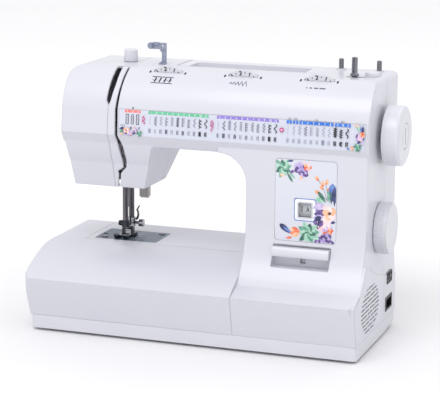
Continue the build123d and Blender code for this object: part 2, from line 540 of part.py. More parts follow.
needle = wheel("Z", 72, NEEDLE_X, NEEDLE_Y, [(0, 0.05), (3, 0.4), (26, 0.42), (28, 1.0), (35, 1.0), (35, 0)])
needle = needle - block(NEEDLE_X - 0.17, NEEDLE_X + 0.17, 20, 30, 76, 77.6)
save("needle", needle)

LEVER = 44.5               # take-up lever, pivot to eye
tip_y = 15 - LEVER * math.cos(math.radians(22))
tip_z = 262 - LEVER * math.sin(math.radians(22))
lever = rod("X", -118, -116, 15, 262, 5) + rod("X", -118, -116, tip_y, tip_z, 3.0)
blade = outline([(15, 266), (tip_y, tip_z + 2.6), (tip_y, tip_z - 2.6), (15, 258)])
lever = lever + prism("YZ", blade, -118, -116)
lever = lever - rod("X", -125, -110, 15, 262, 2.5 + RUN) - rod("X", -125, -110, tip_y, tip_z, 1.2)
save("take_up_lever", lever)

# ---- presser group ----
presser_bar = rod("Z", 99.5, 238, NEEDLE_X, PRESSER_Y, BAR_R)
save("presser_bar", presser_bar + block(-128.5, -117.8, 37, 50, 186, 195))
wire = Plane(origin=(4.4, 0, 0), z_dir=(0, 1, 0)) * Circle(0.55)
coil = sweep(wire, path=Helix(pitch=3.05, height=24.4, radius=4.4))
save("presser_spring", Pos(NEEDLE_X, PRESSER_Y, 196.3) * coil)
holder = rod("Z", 97, 107, NEEDLE_X, PRESSER_Y, 4.6) + block(-126, -118, 30.5, 43, 97, 103)
holder = holder - rod("X", -130, -110, 33, 96.2, 1.6) - block(-130, -110, 20, 33, 90, 96.2)
holder = holder - rod("Z", 99.5, 130, NEEDLE_X, PRESSER_Y, BAR_R)
save("foot_holder", holder)
foot_side = outline([(9.5, 93.2), ((10.6, 90.6), (13.4, 89.3)), (40, 89.3), (40, 91.4), (17, 91.4),
                     ((13, 92.4), (10.6, 94.6))])
foot = prism("YZ", foot_side, -130, -114)
foot = foot - block(-124.2, -119.8, 0, 24, 80, 97) - block(-126.5, -117.5, 22, 27.5, 80, 97)
foot = foot + block(-128.5, -126.3, 30, 36, 90.5, 97.8) + block(-117.7, -115.5, 30, 36, 90.5, 97.8)
foot = foot + rod("X", -128.5, -115.5, 33, 95.9, 1.2)
save("presser_foot", foot)
SCREW_Z = 101.2
thumb = rod("X", -112.4, -107.4, PRESSER_Y, SCREW_Z, 4.1) + rod("X", -117.2, -112.4, PRESSER_Y, SCREW_Z, 1.7)
thumb = thumb - block(-108.1, -106, PRESSER_Y - 6, PRESSER_Y + 6, SCREW_Z - 0.5, SCREW_Z + 0.5)
for i in range(16):
    thumb = thumb - Pos(-110, PRESSER_Y, SCREW_Z) * Rot(22.5 * i, 0, 0) * Pos(0, 0, 4.3) * Box(6, 0.6, 0.9)
save("foot_thumb_screw", thumb)
cutter_side = outline([(-118, 103.4), (-116.6, 103.4), ((-114.7, 109.5), (-116.2, 114.8)),
                       (-113.7, 119.4), (-114.7, 119.9), (-117.6, 115), ((-116.2, 109.5), (-118, 105.5))])
cutter = prism("XZ", cutter_side, 45.6, 48.4) + block(-118.2, -117, 45.6, 47.2, 103.4, 105)
save("thread_cutter", cutter)
lifter_side = outline([(49.8, 171), ((53.6, 177.2), (58, 174.4)), (65, 160), (73.5, 146), (73.5, 128),
                       ((72.5, 125.3), (70, 124.5)), ((67.2, 125.5), (66.5, 128)), (66.5, 141), (52, 166)])
lifter = prism("YZ", lifter_side, -121, -112) - rod("X", -125, -110, 54, 173, 2.0 + RUN)
save("presser_lifter", lifter + block(-122, -111, 66.5, 73.5, 126.5, 138))
pins.append(rod("X", -123, -98, 54, 173, 2.0))

knob = wheel("Z", 284.6, NEEDLE_X, PRESSER_Y, [(0, 8.0), (11.8, 7.4), (13, 6.4), (13, 0)])
for i in range(20):
    knob = knob - Pos(NEEDLE_X, PRESSER_Y, 291) * Rot(0, 0, 18 * i) * Pos(8.1, 0, 0) * Box(0.9, 0.8, 20)
knob = knob + rod("Z", 262, 285, NEEDLE_X, PRESSER_Y, 4.9) + rod("Z", 246.5, 263, NEEDLE_X, PRESSER_Y, 4.0)
save("pressure_knob", knob)


# ---- thumb dials in the shoulder ----
def thumb_dial():
    face = Circle(DIAL_R) - [Rot(0, 0, 6 * i) * Pos(DIAL_R, 0) * Circle(0.45) for i in range(60)]
    disc = extrude(face, amount=2.0, both=True) + extrude(Circle(5), amount=9, both=True)
    disc = disc - extrude(Circle(2.0 + RUN), amount=20, both=True)
    return disc


for label, x in zip(("tension_dial", "width_dial", "length_dial"), THUMB_X):
    save(label, thumb_place(x) * thumb_dial())
for x in THUMB_X:
    pins.append(thumb_place(x) * extrude(Circle(2.0), amount=13, both=True))
discs = []
for disc_x in (-96.0, -94.0):
    disc = wheel("X", disc_x, 20, 262, [(0, 9.5), (0.7, 8.5), (0.7, 0)])
    discs.append(disc - rod("X", -110, -80, 20, 262, 2))
discs.append(rod("X", -97.8, -84, 20, 262, 1.9))
save("tension_discs", *discs)

# ---- pattern selector ----
GEAR_R = math.hypot(DIAL_Y - DRUM_Y, DRUM_Z - DIAL_Z) / 2
mesh = math.degrees(math.atan2(DRUM_Z - DIAL_Z, DRUM_Y - DIAL_Y))
dial = prism("YZ", toothed(72, 27.1, 27.5, 0.5), 0, 10.4) + prism("YZ", Circle(27.1), 10.4, 12.6)
dial = dial + prism("YZ", Circle(26.2), 12.6, 13.6)
dial = Pos(172.6, DIAL_Y, DIAL_Z) * dial
dial = dial + rod("X", 90, 173, DIAL_Y, DIAL_Z, 4)
dial_gear = gear_x(118, 124, DIAL_Y, DIAL_Z, 24, GEAR_R - 1.7, GEAR_R + 1.1, mesh)
save("pattern_dial", dial + dial_gear)
drum = rod("X", 97, 114, DRUM_Y, DRUM_Z, 19.5) - tube("X", 95, 111, DRUM_Y, DRUM_Z, 18, 6)
drum = drum + rod("X", 114, 118, DRUM_Y, DRUM_Z, 7)
drum = drum + gear_x(118, 124, DRUM_Y, DRUM_Z, 24, GEAR_R - 1.7, GEAR_R + 1.1, mesh + 180 + 7.5)
drum = drum - rod("X", 90, 130, DRUM_Y, DRUM_Z, 3 + RUN)
save("indicator_drum", drum)
panel = prism("XZ", panel_face(0), COLUMN_FRONT - 0.3, COLUMN_FRONT + 0.9)
panel = panel - prism("XZ", rounded(97.8, 112.7, 141.1, 156.9, 1), -60, 0)
save("pattern_panel", panel)
lens = prism("XZ", rounded(98, 112.5, 141.3, 156.7, 0.9), COLUMN_FRONT - 0.2, COLUMN_FRONT + 1.2)
save("window_lens", lens)

# ---- reverse lever ----
bar_side = outline([(-45.4, 99.5), ((-45.9, 104), (-43.2, 109.3)), (-37.5, 109.3), (-37.5, 99.5)])
bar = prism("YZ", bar_side, 72.8, 134.2)
bar = bar + block(102, 106, -38, 12, 101, 106.5) + rod("X", 98, 110, 12, 104, 5)
bar = bar + block(97, 111, -31.4, -30.6, 84.5, 108.5)                     # screen behind the slot
bar = bar - rod("X", 90, 120, 12, 104, 2.5 + RUN)
save("reverse_lever", bar)

# ---- power side ----
switch = block(BODY_RIGHT - 10, BASE_RIGHT + 0.4, 47.9, 68.1, 55.4, 67.6)
switch = switch - block(BODY_RIGHT - 8, 180, 49.2, 66.8, 56.7, 66.3)
nodes["rear_cover"] = nodes["rear_cover"] + switch
rocker_side = outline([(166.8, 58), (174.2, 58), ((173.4, 61.5), (175.6, 65)), (166.8, 65)])
rocker = prism("XZ", rocker_side, 49.6, 66.4)
rocker = rocker - rod("Y", 40, 80, 169.5, 61.5, 1.2)
save("power_rocker", rocker)
pins.append(rod("Y", 49.25, 66.75, 169.5, 61.5, 1.15))
inlet = block(152, BASE_RIGHT + 0.6, 43.9, 70.6, 25.4, 40.6) - block(158, 180, 46.4, 68.1, 27.9, 38.1)
for i in range(3):
    inlet = inlet + block(157, 171, 50.2 + 6 * i, 52.2 + 6 * i, 31, 35)
save("mains_inlet", inlet)

# ---- lamp ----
lamp = wheel("Z", 170, -140, 10, [(0, 4), (3, 6.6), (11, 6.6), (14.5, 4.0), (24, 4.0), (24, 0)])
save("lamp_bulb", lamp)

# ---- top: spool pins, winder, thread guide, handle ----
for label, (px, py) in zip(("spool_pin_left", "spool_pin_right"), PINS):
    pin = wheel("Z", 232, px, py, [(0, 2.0), (53.6, 2.0), (53.6, PIN_R), (63.2, PIN_R), (64, 1.9), (64, 0)])
    save(label, pin)
for px, py in PINS:
    sleeve = rod("Z", 240, 285.4, px, py, 4.4) + rod("Z", 283, 285.4, px, py, 5.2)
    nodes["rear_cover"] = nodes["rear_cover"] + sleeve - rod("Z", 230, 300, px, py, 2.0 + RUN)

arm_y = WINDER_Y + 40
winder = block(WINDER_X - 4, WINDER_X + 4, WINDER_Y - 5, arm_y, 262, 266)
winder = winder + rod("Z", 262, 266, WINDER_X, arm_y, 6) + rod("Z", 256, 270, WINDER_X, WINDER_Y, 5.5)
winder = winder - rod("Z", 250, 300, WINDER_X, WINDER_Y, 2.5 + RUN)
winder = winder - rod("Z", 250, 300, WINDER_X, arm_y, 2.5 + RUN)
save("winder_arm", winder)
spindle = wheel("Z", 285, WINDER_X, WINDER_Y, [(0, 3.3), (0.8, 4.8), (2.0, 4.8), (3.6, 3.1), (19.3, 3.1),
                                               (20, 2.5), (20, 0)])
spindle = spindle + rod("Z", 250, 285, WINDER_X, WINDER_Y, 2.5)
spindle = spindle - block(WINDER_X - 0.6, WINDER_X + 0.6, 0, WINDER_Y + 0.4, 289, 310)
spindle = spindle + tube("Z", 250, 254.5, WINDER_X, WINDER_Y, 9, 2)
save("winder_spindle", spindle)
stopper = wheel("Z", 284.1, 157, 31, [(0, 7.8), (3.8, 7.8), (4.6, 7.0), (4.6, 0)])
save("bobbin_stopper", stopper)

guide = block(-84, -76.8, 34, 35.6, 284, 307.4) + block(-84, -76.8, 30, 35.6, 284, 285.4)
guide = guide + block(-94.4, -76.8, 33, 35.6, 300.4, 307.4) + rod("Y", 31.6, 33.4, -94.4, 304, 3.6)
guide = guide + block(-90.6, -84.6, 31.6, 33.4, 305.4, 308.2) - rod("Y", 30, 37, -81, 304, 1.2)
guide = guide - prism("XZ", outline([(-84.1, 285.4), (-84.1, 299), (-82, 296.6), (-82, 287.4)]), 33, 40)
guide = guide + rod("Y", 29.6, 31.7, -94.4, 304, 2.6) - block(-98, -91, 29, 30.1, 303.6, 304.4)
save("thread_guide", guide)

HANDLE_Z = 283.6
grip_plan = (rounded(-63.3, 96.3, 33, 83.3, 4.5) - rounded(-50.5, 82, 20, 66, 6))
handle = prism("XY", grip_plan, 275.6, HANDLE_Z) - block(-BIG, BIG, 0, 34.2, 0, BIG)
handle = handle - rod("X", -70, 100, 38, 279, 2.0 + RUN)
save("carry_handle", handle)
pins.append(rod("X", -66.4, -50.5, 38, 279, 2.0))
pins.append(rod("X", 82, 99.4, 38, 279, 2.0))
nodes["rear_cover"] = nodes["rear_cover"] - pins[-2:]
save("hinge_pins", *pins)

REAR_SCREWS = ((-150, 262), (-85, 215), (60, 262), (160, 262), (160, 110), (55, 110), (160, 30), (55, 30))
for x, z in REAR_SCREWS:
    head = rod("Y", 83.9, 85.4, x, z, 3.6) - block(x - 4, x + 4, 84.9, 90, z - 0.5, z + 0.5)
    screws.append(head + rod("Y", 76.2, 84, x, z, 1.6))
    for cover in ("rear_cover", "left_head_cover"):
        nodes[cover] = nodes[cover] - rod("Y", 83.9, 90, x, z, 4.0) - rod("Y", 60, 90, x, z, 1.6)
for x in (-150, 0, 128):
    for y in (-50, 30):
        head = rod("Z", 2.4, FOOT_H, x, y, 3.2) - block(x - 2.4, x + 2.4, y - 0.4, y + 0.4, 2, 2.7)
        screws.append(head + rod("Z", 2.9, 12, x, y, 1.5))
        nodes["base_tray"] = nodes["base_tray"] - rod("Z", 0, 12.1, x, y, 1.5)
save("screws", *screws)

arm_skin = arm_form(0) - arm_form(0.6)
save("stitch_chart", arm_skin & block(-104, 168.5, -60, 0, 215.9, 243.4))
chart_recess = arm_skin & block(-104.2, 168.7, -60, 0, 215.8, 243.6)
nodes["front_cover"] = nodes["front_cover"] - chart_recess

os.makedirs("parts", exist_ok=True)
for name, shape in nodes.items():
    export_step(shape, f"parts/{name}.step")
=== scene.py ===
import json
import math

import bmesh
import bpy
from mathutils import Matrix, Vector


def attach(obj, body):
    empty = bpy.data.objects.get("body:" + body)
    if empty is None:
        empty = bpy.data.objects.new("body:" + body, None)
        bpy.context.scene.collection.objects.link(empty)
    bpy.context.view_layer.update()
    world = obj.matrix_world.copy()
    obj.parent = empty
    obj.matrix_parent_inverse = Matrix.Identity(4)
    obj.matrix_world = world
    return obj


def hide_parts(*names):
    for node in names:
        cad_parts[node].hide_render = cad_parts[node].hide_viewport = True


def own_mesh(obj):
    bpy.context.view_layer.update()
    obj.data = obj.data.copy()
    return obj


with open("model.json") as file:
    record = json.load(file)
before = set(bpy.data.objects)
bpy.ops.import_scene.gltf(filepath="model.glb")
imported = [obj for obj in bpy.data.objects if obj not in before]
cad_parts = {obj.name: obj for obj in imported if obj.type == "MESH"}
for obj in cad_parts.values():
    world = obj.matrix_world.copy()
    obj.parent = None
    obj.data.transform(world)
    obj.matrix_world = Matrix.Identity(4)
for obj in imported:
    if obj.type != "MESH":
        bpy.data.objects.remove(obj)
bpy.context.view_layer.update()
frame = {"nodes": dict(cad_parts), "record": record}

MM = 0.001
scene = bpy.context.scene


# ---------------------------------------------------------------- camera
def make_camera():
    """Camera at the photograph's view: to the right of the machine, a little above it."""
    yaw, tilt, roll = (math.radians(a) for a in (19.4105, 12.272, 0.415))
    right = Vector((math.cos(yaw), math.sin(yaw), 0))
    ahead = Vector((-math.sin(yaw) * math.cos(tilt), math.cos(yaw) * math.cos(tilt), -math.sin(tilt)))
    up = right.cross(ahead)
    right_r = math.cos(roll) * right + math.sin(roll) * up
    up_r = -math.sin(roll) * right + math.cos(roll) * up
    data = bpy.data.cameras.new("view_camera")
    data.lens = 146.5
    data.sensor_width = 36.0
    cam = bpy.data.objects.new("view_camera", data)
    basis = Matrix((right_r, up_r, -ahead)).transposed().to_4x4()
    cam.matrix_world = Matrix.Translation((0.628, -1.7855, 0.5531)) @ basis
    scene.collection.objects.link(cam)
    scene.camera = cam


# ---------------------------------------------------------------- materials
def node_of(tree, kind):
    return next(n for n in tree.nodes if n.type == kind)


def new_material(name):
    mat = bpy.data.materials.new(name)
    mat.use_nodes = True
    tree = mat.node_tree
    return mat, tree, node_of(tree, "BSDF_PRINCIPLED")


def add_node(tree, kind, **values):
    node = tree.nodes.new(kind)
    for key, value in values.items():
        if key in node.inputs:
            node.inputs[key].default_value = value
        else:
            setattr(node, key, value)
    return node


def noise(tree, scale, detail=3.0, rough=0.5):
    coords = add_node(tree, "ShaderNodeTexCoord")
    tex = add_node(tree, "ShaderNodeTexNoise", Scale=scale, Detail=detail, Roughness=rough)
    tree.links.new(coords.outputs["Object"], tex.inputs["Vector"])
    return tex


def spread(tree, source, low, high, from_low=0.3, from_high=0.7):
    ranged = add_node(tree, "ShaderNodeMapRange")
    for key, value in (("From Min", from_low), ("From Max", from_high), ("To Min", low), ("To Max", high)):
        ranged.inputs[key].default_value = value
    tree.links.new(source, ranged.inputs["Value"])
    return ranged.outputs["Result"]


def ramp(tree, source, low, high, from_low=0.3, from_high=0.7):
    node = add_node(tree, "ShaderNodeValToRGB")
    node.color_ramp.elements[0].position = from_low
    node.color_ramp.elements[1].position = from_high
    node.color_ramp.elements[0].color = (*low, 1)
    node.color_ramp.elements[1].color = (*high, 1)
    tree.links.new(source, node.inputs["Fac"])
    return node.outputs["Color"]


def surface(name, low, high, rough, bump, scale, fine=900.0, metallic=0.0, coat=0.0, spec=0.5):
    """Moulded or machined surface: soft colour drift, uneven gloss and a fine bump."""
    mat, tree, shader = new_material(name)
    drift = noise(tree, scale)
    tree.links.new(ramp(tree, drift.outputs["Fac"], low, high), shader.inputs["Base Color"])
    tree.links.new(spread(tree, noise(tree, scale * 4).outputs["Fac"], *rough), shader.inputs["Roughness"])
    grain = noise(tree, fine, 2.0)
    relief = add_node(tree, "ShaderNodeBump", Strength=bump, Distance=0.0002)
    tree.links.new(grain.outputs["Fac"], relief.inputs["Height"])
    tree.links.new(relief.outputs["Normal"], shader.inputs["Normal"])
    shader.inputs["Metallic"].default_value = metallic
    shader.inputs["Coat Weight"].default_value = coat
    shader.inputs["Coat Roughness"].default_value = 0.08
    shader.inputs["Specular IOR Level"].default_value = spec
    return mat


def brushed(name, low, high, rough, stretch=(1, 40, 1), scale=120.0, metallic=1.0):
    """Metal with fine lines across one direction. On the bars (bar_steel) the lines are long dark streaks:
    painted reflections.
    """
    mat, tree, shader = new_material(name)
    coords = add_node(tree, "ShaderNodeTexCoord")
    mapping = add_node(tree, "ShaderNodeMapping")
    mapping.inputs["Scale"].default_value = stretch
    tree.links.new(coords.outputs["Object"], mapping.inputs["Vector"])
    lines = add_node(tree, "ShaderNodeTexNoise", Scale=scale, Detail=4.0)
    tree.links.new(mapping.outputs["Vector"], lines.inputs["Vector"])
    tree.links.new(ramp(tree, lines.outputs["Fac"], low, high), shader.inputs["Base Color"])
    tree.links.new(spread(tree, lines.outputs["Fac"], *rough), shader.inputs["Roughness"])
    relief = add_node(tree, "ShaderNodeBump", Strength=0.15, Distance=0.0001)
    tree.links.new(lines.outputs["Fac"], relief.inputs["Height"])
    tree.links.new(relief.outputs["Normal"], shader.inputs["Normal"])
    shader.inputs["Metallic"].default_value = metallic
    return mat


def glassy(name, tint, rough):
    mat, tree, shader = new_material(name)
    haze = noise(tree, 60.0)
    tree.links.new(spread(tree, haze.outputs["Fac"], rough, rough + 0.06), shader.inputs["Roughness"])
    tree.links.new(ramp(tree, haze.outputs["Fac"], tint, tuple(min(1, c * 1.02) for c in tint)),
                   shader.inputs["Base Color"])
    shader.inputs["Transmission Weight"].default_value = 1.0
    shader.inputs["IOR"].default_value = 1.49
    return mat


def srgb(r, g, b):
    """Colour from 0-255 display values."""
    return tuple((c / 255 / 12.92) if c <= 10 else ((c / 255 + 0.055) / 1.055) ** 2.4 for c in (r, g, b))


def rounded_edges(mat, radius):
    """Softens the look of a moulding's edges, under the material's own bump."""
    tree = mat.node_tree
    bevel = add_node(tree, "ShaderNodeBevel", Radius=radius)
    tree.links.new(bevel.outputs["Normal"], node_of(tree, "BUMP").inputs["Normal"])
    return mat


def overlay(tree, mask, colour):
    """Lays a second colour over the base colour, as far as the mask says."""
    base = node_of(tree, "BSDF_PRINCIPLED").inputs["Base Color"]
    mix = add_node(tree, "ShaderNodeMix", data_type="RGBA")
    tree.links.new(mask, mix.inputs["Factor"])
    tree.links.new(base.links[0].from_socket, mix.inputs["A"])
    mix.inputs["B"].default_value = (*colour, 1)
    tree.links.new(mix.outputs["Result"], base)


def etched_plate(mat):
    """Fine square guide lines on the needle plate, right of the foot. Lengths are in metres."""
    first_x, first_y, pitch, line_width, left_limit = -0.150, 0.006, 0.0026, 0.00038, -0.1125
    tree = mat.node_tree
    coords = add_node(tree, "ShaderNodeTexCoord")
    split = add_node(tree, "ShaderNodeSeparateXYZ")
    tree.links.new(coords.outputs["Object"], split.inputs["Vector"])
    masks = []
    for axis, start in (("X", first_x), ("Y", first_y)):
        shifted = add_node(tree, "ShaderNodeMath", operation="SUBTRACT")
        tree.links.new(split.outputs[axis], shifted.inputs[0])
        shifted.inputs[1].default_value = start
        part = add_node(tree, "ShaderNodeMath", operation="MODULO")
        tree.links.new(shifted.outputs[0], part.inputs[0])
        part.inputs[1].default_value = pitch
        line = add_node(tree, "ShaderNodeMath", operation="LESS_THAN")
        tree.links.new(part.outputs[0], line.inputs[0])
        line.inputs[1].default_value = line_width
        masks.append(line)
    either = add_node(tree, "ShaderNodeMath", operation="MAXIMUM")
    tree.links.new(masks[0].outputs[0], either.inputs[0])
    tree.links.new(masks[1].outputs[0], either.inputs[1])
    right = add_node(tree, "ShaderNodeMath", operation="GREATER_THAN")
    tree.links.new(split.outputs["X"], right.inputs[0])
    right.inputs[1].default_value = left_limit
    both = add_node(tree, "ShaderNodeMath", operation="MULTIPLY")
    tree.links.new(either.outputs[0], both.inputs[0])
    tree.links.new(right.outputs[0], both.inputs[1])
    overlay(tree, both.outputs[0], srgb(150, 162, 178))
    return mat


def knurled(name, low, high, pitch):
    """Bright metal with a fine crossed knurl, with painted shade: the colour darkens in the knurl's grooves.
    """
    mat, tree, shader = new_material(name)
    coords = add_node(tree, "ShaderNodeTexCoord")
    heights = []
    for turn in (0.7, -0.7):
        mapping = add_node(tree, "ShaderNodeMapping")
        mapping.inputs["Rotation"].default_value = (0, turn, 0)
        tree.links.new(coords.outputs["Object"], mapping.inputs["Vector"])
        wave = add_node(tree, "ShaderNodeTexWave", Scale=pitch, Distortion=0.6)
        tree.links.new(mapping.outputs["Vector"], wave.inputs["Vector"])
        heights.append(wave)
    cross = add_node(tree, "ShaderNodeMath", operation="MULTIPLY")
    tree.links.new(heights[0].outputs["Fac"], cross.inputs[0])
    tree.links.new(heights[1].outputs["Fac"], cross.inputs[1])
    # painted shade: the base colour follows the knurl's height, dark in the grooves and bright metal on the
    # ridges
    tree.links.new(ramp(tree, cross.outputs[0], low, high, 0.08, 0.6), shader.inputs["Base Color"])
    tree.links.new(spread(tree, cross.outputs[0], 0.4, 0.2, 0.0, 1.0), shader.inputs["Roughness"])
    relief = add_node(tree, "ShaderNodeBump", Strength=0.6, Distance=0.0004)
    tree.links.new(cross.outputs[0], relief.inputs["Height"])
    tree.links.new(relief.outputs["Normal"], shader.inputs["Normal"])
    shader.inputs["Metallic"].default_value = 1.0
    return mat


def make_materials():
    shell = (srgb(206, 206, 215), srgb(208, 208, 216))
    trim = (srgb(208, 208, 216), srgb(212, 212, 219))
    return {
        "white_shell": rounded_edges(
            surface("white_shell", *shell, (0.3, 0.36), 0.02, 6.0, coat=0.15), 0.0016),
        "white_trim": rounded_edges(
            surface("white_trim", *trim, (0.28, 0.38), 0.07, 14.0, coat=0.1), 0.0006),
        "steel": brushed("steel", srgb(84, 84, 90), srgb(160, 160, 168), (0.2, 0.36)),
        "chrome": brushed("chrome", srgb(120, 120, 128), srgb(205, 206, 212), (0.08, 0.2), (30, 30, 1)),
        # bar_steel: long dark streaks down the bars are painted reflections
        "bar_steel": brushed("bar_steel", srgb(44, 43, 47), srgb(132, 129, 134), (0.14, 0.26), (5, 5, 0.12)),
        # knurled_steel for the spool pins: painted shade in the knurl's grooves
        "knurled_steel": knurled("knurled_steel", srgb(52, 52, 56), srgb(190, 190, 196), 300.0),
        "plate_steel": etched_plate(
            brushed("plate_steel", srgb(84, 95, 110), srgb(104, 115, 130), (0.3, 0.42), (6, 90, 1),
                    metallic=0.75)),
        "cast_metal": surface("cast_metal", srgb(120, 121, 124), srgb(142, 143, 146), (0.45, 0.6), 0.5, 30.0,
                              metallic=0.9),
        "bronze": brushed("bronze", srgb(150, 112, 70), srgb(186, 148, 100), (0.25, 0.4)),
        "black_rubber": surface("black_rubber", srgb(24, 24, 25), srgb(36, 36, 37), (0.6, 0.8), 0.4, 40.0),
        "black_plastic": surface("black_plastic", srgb(16, 16, 19), srgb(26, 26, 30), (0.3, 0.5), 0.3, 40.0),
        "grey_plastic": surface("grey_plastic", srgb(166, 161, 158), srgb(180, 175, 172), (0.35, 0.5), 0.3,
                                40.0),
        "guide_grey": brushed("guide_grey", srgb(128, 134, 154), srgb(160, 166, 186), (0.3, 0.42), (1, 1, 20),
                              metallic=0.5),
        "printed_panel": surface("printed_panel", srgb(203, 206, 220), srgb(207, 210, 223), (0.16, 0.24),
                                 0.03, 12.0, coat=0.3),
        "pale_panel": surface("pale_panel", srgb(208, 210, 221), srgb(211, 213, 223), (0.1, 0.16), 0.02, 12.0,
                              coat=0.6),
        "clear_lens": glassy("clear_lens", (0.95, 0.97, 1.0), 0.03),
        "lamp_glass": glassy("lamp_glass", (1.0, 0.95, 0.85), 0.3),
        "dark_metal": brushed("dark_metal", srgb(34, 35, 40), srgb(84, 86, 94), (0.2, 0.35)),
        "foot_metal": brushed("foot_metal", srgb(48, 50, 56), srgb(128, 130, 138), (0.12, 0.22), (12, 12, 3)),
        "drum_grey": surface("drum_grey", srgb(240, 240, 243), srgb(246, 246, 248), (0.4, 0.5), 0.1, 20.0),
    }


FINISHES = {
    "needle_bar": "bar_steel", "presser_bar": "bar_steel", "spool_pin_left": "knurled_steel",
    "spool_pin_right": "knurled_steel", "pattern_panel": "pale_panel", "indicator_drum": "drum_grey",
    "presser_foot": "foot_metal", "power_rocker": "black_plastic", "foot_holder": "chrome",
    "foot_thumb_screw": "chrome", "needle_clamp": "dark_metal", "thread_cutter": "bar_steel",
    "winder_spindle": "steel",
}


def dress_nodes(mats):
    slots = {s["node"]: s["material_slot"] for s in frame["record"]["subparts"]}
    for name, obj in frame["nodes"].items():
        obj.data.materials.clear()
        obj.data.materials.append(mats[FINISHES.get(name, slots[name])])


# ---------------------------------------------------------------- printed artwork
INKS = {
    "black": ((26, 26, 34), (40, 40, 50)), "grey": ((122, 124, 148), (140, 142, 164)),
    "slate": ((70, 72, 92), (90, 92, 112)), "white": ((236, 238, 246), (244, 245, 250)),
    "red": ((232, 118, 116), (240, 140, 136)), "green": ((92, 184, 142), (112, 198, 158)),
    "violet": ((136, 116, 204), (152, 134, 214)), "blue": ((24, 104, 206), (40, 122, 220)),
    "sky": ((70, 98, 176), (112, 142, 206)), "magenta": ((186, 32, 118), (200, 48, 134)),
    "leaf": ((74, 142, 116), (140, 190, 170)), "leaf_dark": ((28, 84, 70), (84, 140, 120)),
    "leaf_light": ((120, 186, 156), (190, 222, 206)), "lilac": ((158, 138, 200), (214, 198, 232)),
    "plum": ((70, 48, 112), (128, 98, 166)), "navy": ((24, 28, 74), (70, 82, 142)),
    "pink": ((234, 180, 192), (246, 222, 228)), "blush": ((240, 204, 208), (248, 232, 232)),
    "peach": ((240, 158, 110), (250, 206, 172)), "coral": ((222, 84, 56), (242, 142, 104)),
    "core": ((44, 16, 18), (86, 40, 34)),
}


def make_inks():
    """Printed colours: each drifts a little from light to dark, as a watercolour print does."""
    return {name: surface("ink_" + name, srgb(*low), srgb(*high), (0.22, 0.32), 0.03, 160.0, coat=0.3)
            for name, (low, high) in INKS.items()}


GLYPHS = {
    "0": [[(0, 0.3), (0, 1.7), (0.3, 2), (0.7, 2), (1, 1.7), (1, 0.3), (0.7, 0), (0.3, 0), (0, 0.3)]],
    "1": [[(0.2, 1.6), (0.55, 2), (0.55, 0)]],
    "2": [[(0, 1.6), (0.3, 2), (0.7, 2), (1, 1.6), (0.9, 1.1), (0, 0), (1, 0)]],
    "3": [[(0, 1.8), (0.5, 2), (1, 1.6), (0.5, 1.05), (1, 0.5), (0.5, 0), (0, 0.25)]],
    "4": [[(0.75, 0), (0.75, 2), (0, 0.6), (1.05, 0.6)]],
    "5": [[(1, 2), (0.1, 2), (0.05, 1.1), (0.6, 1.25), (1, 0.7), (0.6, 0), (0, 0.15)]],
    "6": [[(0.9, 1.9), (0.4, 1.8), (0.05, 1), (0.1, 0.2), (0.6, 0), (1, 0.4), (0.9, 0.95), (0.4, 1.1),
           (0.05, 0.8)]],
    "7": [[(0, 2), (1, 2), (0.4, 0)]],
    "8": [[(0.5, 1.05), (0.05, 1.5), (0.4, 2), (0.7, 2), (0.95, 1.5), (0.5, 1.05), (0, 0.5), (0.4, 0),
           (0.65, 0), (1, 0.5), (0.5, 1.05)]],
    "9": [[(0.95, 1.2), (0.5, 0.95), (0.05, 1.3), (0.15, 1.85), (0.6, 2), (0.95, 1.6), (0.9, 0.7), (0.4, 0)]],
    "A": [[(0, 0), (0.5, 2), (1, 0)], [(0.2, 0.75), (0.8, 0.75)]],
    "-": [[(0.1, 1), (0.9, 1)]],
}


EVERYWHERE = (-999, 999, -999, 999)
LIFT = 0.06                 # height above a surface that its printed shapes start from, mm
LIFT_STEP = 0.0008          # rise from each printed shape to the next, so that no two share a plane, mm


def mesh_object(name, bm, materials):
    """Turns a finished bmesh into an object in the scene."""
    data = bpy.data.meshes.new(name)
    bm.to_mesh(data)
    bm.free()
    for mat in materials:
        data.materials.append(mat)
    obj = bpy.data.objects.new(name, data)
    scene.collection.objects.link(obj)
    return obj


